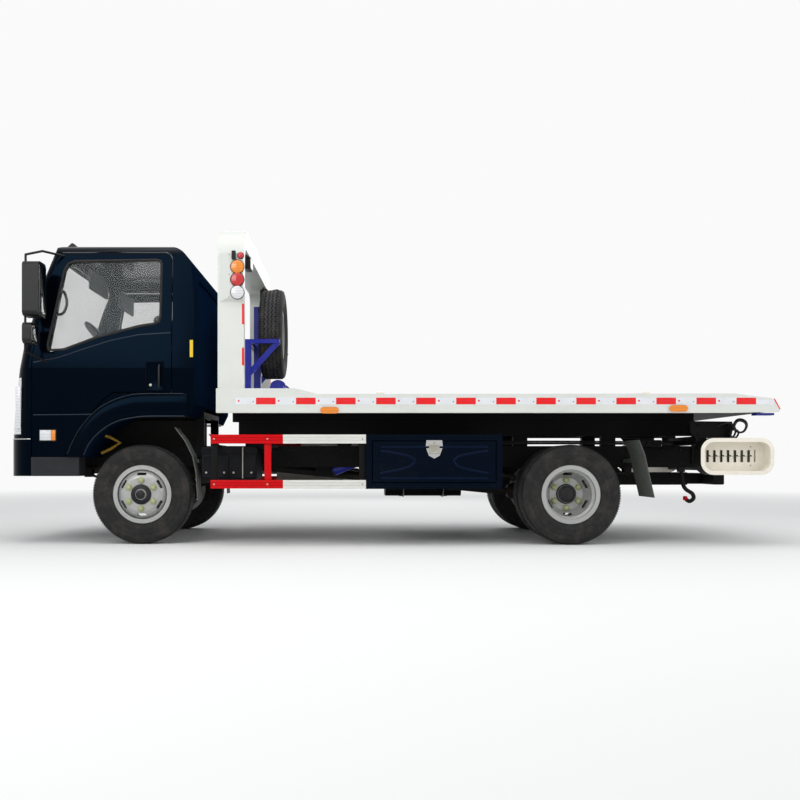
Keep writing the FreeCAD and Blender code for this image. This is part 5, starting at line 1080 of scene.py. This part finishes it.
strip = tube("bumper_chrome_strip", around_corner(0.824, 2.782, -0.0025), 0.0055)
settle(strip, bright, "cab")
for side, name in ((1, "left"), (-1, "right")):
    bowls, bulbs = [], []
    for z, y, radius in ((1.205, 0.862, 0.044), (1.105, 0.842, 0.052), (0.985, 0.822, 0.058)):
        place = (nose_x(z, y) - 0.046, side * y, z)
        dish = [(0.0, -0.008), (0.5, -0.006), (0.8, 0.0), (0.92, 0.007), (1.0, 0.009), (1.0, 0.0)]
        bowl = spun("bowl", [(radius * share, depth) for share, depth in dish], 36)
        bowl.data.transform(Matrix.Translation(place) @ Matrix.Rotation(-math.pi / 2 - side * 0.22, 4, "Z"))
        bowls.append(bowl)
        bulbs.append(facets("bulb", place, radius * 0.28, 0.018, 24, axis="X", dome=0.003))
    settle(joined("headlamp_bowls_" + name, bowls), bright, "cab")
    settle(joined("headlamp_bulbs_" + name, bulbs), clear_lens, "cab")
    y = side * 0.9555
    corner = pressed("headlamp_side_lens_" + name, (2.862, y - 0.0035, 0.905), (2.902, y + 0.0035, 1.235), 0.003)
    settle(corner, clear_lens, "cab")
    fog = spun("fog_lamp_" + name, [
        (0.0, 0.006), (0.03, 0.005), (0.04, 0.0), (0.046, 0.007), (0.052, 0.004), (0.052, -0.02), (0.0, -0.02),
    ], 32)
    place = (nose_x(0.64, 0.69) - 0.022, side * 0.69, 0.638)
    fog.data.transform(Matrix.Translation(place) @ Matrix.Rotation(-math.pi / 2, 4, "Z"))
    settle(fog, clear_lens, "cab")
number_plate = pressed("number_plate_blank", (2.985, -0.22, 0.69), (2.997, 0.22, 0.8), 0.0012, "+X", 0.008, 0.0003)
settle(number_plate, guard_white, "cab")
lower = []
for z in (0.605, 0.635, 0.665):
    lower.append(tube("bar", [(nose_x(z, y) - 0.05, y, z) for y in (-0.41, 0.0, 0.41)], 0.006))
settle(joined("bumper_lower_grille", lower), trim_black, "cab")

# Cab markings and fittings: yellow reflective tape on the rear corners, A-pillar grab handles, sun
# visors and a rear-view mirror; moulded plastic and tape.
corner = pressed("cab_corner_tape_left", (1.5125, 0.96, 1.464), (1.5375, 0.9662, 1.598), 0.0006, segments=1)
both(corner, tape_yellow, "cab")
handle = tube("grab_handle_left", smooth_line([
    (front_axle + 0.675, 0.868, 2.005), (front_axle + 0.632, 0.85, 1.99), (front_axle + 0.612, 0.846, 1.905),
    (front_axle + 0.64, 0.85, 1.826), (front_axle + 0.69, 0.868, 1.812)], 5), 0.0115)
both(handle, trim_black, "cab")
low, high = (front_axle + 0.455, 0.22, 2.045), (front_axle + 0.475, 0.72, 2.2)
visor = pressed("sun_visor_left", low, high, 0.008, "-X", 0.015, -0.003)
both(visor, interior_grey, "cab")
stem = tube("stem", [(front_axle + 0.6, 0.0, 2.23), (front_axle + 0.55, 0.0, 2.16)], 0.006)
glass = pressed("glass", (front_axle + 0.535, -0.11, 2.1), (front_axle + 0.555, 0.11, 2.165), 0.008)
settle(joined("interior_mirror", [stem, glass]), trim_black, "cab")


# Chassis fittings: the arch bracket, battery lids and straps, tank bands and filler cap, rivets along the
# rails, hydraulic lines with their valve block, the tow hook and the tail's hose loops; steel and rubber.
arm_line = [(0.41, 0.882), (0.3, 0.842), (0.226, 0.8), (0.3, 0.752), (0.378, 0.716)]
arm = tube("arch_bracket_left", [(front_axle + x, 0.7, z) for x, z in arm_line], 0.0125)
both(arm, bracket_yellow, "cab")
lids = []
for x0, x1 in ((1.026, 1.232), (1.242, 1.448)):
    lids.append(pressed("lid", (x0, 0.905, 0.52), (x1, 0.918, 0.7), 0.004, "+Y", 0.016, -0.003))
    lids.append(pressed("cover", (x0, 0.48, 0.745), (x1, 0.916, 0.76), 0.004, "+Z", 0.018, 0.003))
settle(joined("battery_lids", lids), battery_black, "chassis")
straps = [tube("strap", [(x, 0.921, 0.515), (x, 0.921, 0.757), (x, 0.86, 0.764)], 0.0055) for x in (1.129, 1.345)]
straps += [facets("bolt", (x, 0.921, 0.56), 0.01, 0.012, 6, dome=0.002) for x in (1.06, 1.2, 1.275, 1.415)]
settle(joined("battery_straps", straps), zinc, "chassis")
bands = []
for x in (-0.2, -0.57):
    ring = []
    for angle in [math.tau * k / 40 for k in range(40)]:
        c, s = [max(-1, min(1, 1.18 * value)) for value in (math.cos(angle), math.sin(angle))]
        ring.append((x, -0.64 + 0.266 * c, 0.549 + 0.226 * s))
    bands.append(tube("band", ring, 0.006, closed=True))
bands.append(facets("cap", (-0.12, -0.78, 0.782), 0.045, 0.034, 32, axis="Z", dome=0.004, bevel=0.004))
settle(joined("fuel_tank_bands", bands), zinc, "chassis")
rivets = []
for side in (-1, 1):
    for index in range(34):
        x = 2.45 - 0.15 * index
        if not -1.75 < x < -1.1:
            for z in (0.748, 0.632):
                rivets.append(facets("rivet", (x, side * 0.3765, z), 0.009, 0.007, 12, dome=side * 0.002))
settle(joined("frame_rail_rivets", rivets), cast_black, "chassis")
lines = []
for y, z in ((0.405, 0.797), (0.432, 0.8), (0.418, 0.815)):
    run = [(0.2, y, z), (-0.45, y, z - 0.003), (-0.9, y + 0.004, z), (-1.4, y, z + 0.003), (-2.0, y - 0.004, z)]
    lines.append(tube("line", smooth_line(run + [(-2.52, y, z)], 6), 0.0075))
settle(joined("frame_hydraulic_lines", lines), rubber_black, "chassis")
valve = pressed("valve_block", (-2.3, 0.385, 0.775), (-2.12, 0.5, 0.828), 0.005, "+Y", 0.012, -0.004)
ports = [facets("port", (-2.28 + 0.047 * k, 0.503, 0.802), 0.013, 0.014, 6, dome=0.002) for k in range(4)]
settle(joined("frame_valve_block", [valve] + ports), cast_black, "chassis")
hook_line = [
    (-2.515, 0.61), (-2.53, 0.47), (-2.556, 0.415), (-2.61, 0.378), (-2.622, 0.338), (-2.588, 0.312), (-2.556, 0.33),
]
hook = [
    tube("hook", smooth_line([(x, 0.345, z) for x, z in hook_line], 6), 0.017),
    pressed("plate", (-2.545, 0.325, 0.56), (-2.485, 0.365, 0.66), 0.005),
]
settle(joined("tow_hook", hook), cast_black, "chassis")
tip = facets("tow_hook_tip", (-2.551, 0.345, 0.337), 0.0185, 0.03, 24, axis="Z", dome=0.003)
settle(tip, guard_red, "chassis")
hoses = []
for x, z, radius, y in ((-2.742, 0.925, 0.052, 1.02), (-2.732, 0.918, 0.045, 1.045), (-2.7, 0.865, 0.032, 1.01)):
    loop = []
    for angle in [math.tau * k / 28 for k in range(29)]:
        loop.append((x + radius * math.cos(angle), y + 0.006 * math.sin(3 * angle), z + radius * math.sin(angle)))
    hoses.append(tube("loop", loop, 0.0075))
feed = [
    (-2.66, 1.02, 0.825), (-2.695, 1.02, 0.85), (-2.7, 1.03, 0.9), (-2.66, 1.03, 0.945), (-2.6, 0.98, 0.93),
    (-2.5, 0.6, 0.82), (-2.42, 0.42, 0.79),
]
hoses.append(tube("feed", smooth_line(feed, 6), 0.0075))
settle(joined("tail_hoses", hoses), rubber_black, "chassis")

# Tail lamps: three-chamber moulded clusters with red, amber and clear panels in a black rim, and a blank
# rear plate between them.
chambers = {"red": [(0.66, 0.745), (0.865, 0.94)], "amber": [(0.75, 0.812)], "clear": [(0.817, 0.86)]}
for side, name in ((1, "left"), (-1, "right")):
    for colour, spans in chambers.items():
        parts = []
        for y0, y1 in spans:
            low, high = sorted((side * y0, side * y1))
            parts.append(pressed("panel", (-2.9815, low, 0.598), (-2.974, high, 0.672), 0.003, "-X", 0.01, 0.001))
        settle(joined("tail_lamp_" + colour + "_" + name, parts), lenses[colour], "chassis")
    low, high = sorted((side * 0.652, side * 0.948))
    rim = pressed("tail_lamp_rim_" + name, (-2.9755, low, 0.591), (-2.94, high, 0.679), 0.006)
    settle(rim, trim_black, "chassis")
plate_piece = pressed("rear_plate_blank", (-2.9445, -0.22, 0.575), (-2.9385, 0.22, 0.69), 0.0015, "-X", 0.008, 0.0005)
settle(plate_piece, guard_white, "chassis")

# Lever box brackets: folded gusset plates under the bed's tail that hold the lever boxes off the
# frame rails, each with an arm that reaches in to the rail and four bolts; chassis black.
gusset = [(-2.375, 0.962), (-2.7, 0.958), (-2.705, 0.9), (-2.69, 0.832), (-2.42, 0.832), (-2.375, 0.88)]
sheet = plate("sheet", gusset, 0.958, 0.968, 0.002)
arm = pressed("lever_bracket_arm_left", (-2.5, 0.3, 0.7805), (-2.42, 0.966, 0.846), 0.006, "+Y", 0.015, -0.003)
knots = [facets("bolt", (x, 0.97, z), 0.011, 0.01, 6, dome=0.002) for x in (-2.435, -2.66) for z in (0.86, 0.935)]
bracket = joined("lever_bracket_left", [sheet, arm] + knots)
both(bracket, chassis_black, "chassis")


# Seats: polyester-covered foam on the bench and the driver's seat. Each pad is a crowned closed form,
# pressed in along sewn channels, with a piped seam round its edge and slight creases in the cloth.
def pad(name, middle, size, lean, channels):
    """A padded form of a given size, leaning back by an angle in degrees, with sewn channels across Y."""
    bpy.ops.mesh.primitive_cube_add(size=2.0)
    piece = bpy.context.object
    piece.name = name
    bpy.ops.object.mode_set(mode="EDIT")
    bpy.ops.mesh.subdivide(number_cuts=30)
    bpy.ops.object.mode_set(mode="OBJECT")
    shake = random.Random(len(name) + int(middle[1] * 1000))
    phase = [shake.uniform(0, 6.28) for _ in range(4)]
    for vertex in piece.data.vertices:
        u, v, w = vertex.co
        reach = (abs(u) ** 5 + abs(v) ** 5 + abs(w) ** 5) ** 0.2
        u, v, w = u / reach, v / reach, w / reach
        pinch = sum(math.exp(-((v - line) / 0.035) ** 2) for line in channels)
        crease = 0.0025 * math.sin(9 * u + phase[0]) * math.sin(7 * v + phase[1])
        crease += 0.0015 * math.sin(23 * v + 11 * w + phase[2])
        crown = size[2] / 2 * w * (1 + 0.1 * (1 - u * u) * (1 - v * v))
        sewn = math.copysign(0.009, w) * pinch * min(1, abs(w) * 1.2)
        vertex.co = (size[0] / 2 * u, size[1] / 2 * v * (1 - 0.02 * (1 - u * u)), crown - sewn + crease)
    turn = Matrix.Translation(middle) @ Matrix.Rotation(math.radians(lean), 4, "Y")
    piece.data.transform(turn)
    bpy.ops.object.shade_smooth()
    seam = []
    for step in range(64):
        angle = math.tau * step / 64
        c, s = math.cos(angle), math.sin(angle)
        reach = (abs(c) ** 5 + abs(s) ** 5) ** 0.2
        edge = (size[0] / 2 * c / reach * 1.004, size[1] / 2 * s / reach * 1.004, 0.0)
        seam.append(tuple(turn @ Vector(edge)))
    piping = tube(name + "_piping", seam, 0.004, closed=True)
    settle(piping, rubber_black, "cab")
    return piece


seat_plan = (("driver", 0.49, 0.49, (-0.45, 0.45)), ("bench", -0.305, 0.93, (-0.66, -0.33, 0.0, 0.33, 0.66)))
for name, y, width, channels in seat_plan:
    cushion = pad("seat_cushion_" + name, (2.085, y, 1.215), (0.53, width, 0.17), -4, channels)
    back = pad("seat_back_" + name, (1.775, y, 1.555), (0.6, width, 0.13), -77, channels)
    for piece in (cushion, back):
        settle(piece, seat_grey, "cab", "seats")
    rests = [y] if name == "driver" else [y + 0.22, y - 0.24]
    for count, rest_y in enumerate(rests):
        head = pad("seat_headrest_" + name + "_" + str(count), (1.688, rest_y, 1.93), (0.15, 0.25, 0.085), -80, ())
        settle(head, seat_grey, "cab", "seats")
        stalks = [tube("stalk", [(1.7, rest_y + dy, 1.8), (1.69, rest_y + dy, 1.9)], 0.006) for dy in (-0.05, 0.05)]
        settle(joined("seat_headrest_stalks_" + name + "_" + str(count), stalks), zinc, "cab")
base = []
for _, y, width, _ in seat_plan:
    half = width / 2 - 0.03
    base.append(pressed("base", (1.82, y - half, 1.06), (2.32, y + half, 1.145), 0.008))
settle(joined("seat_bases", base), interior_grey, "cab", "seats")
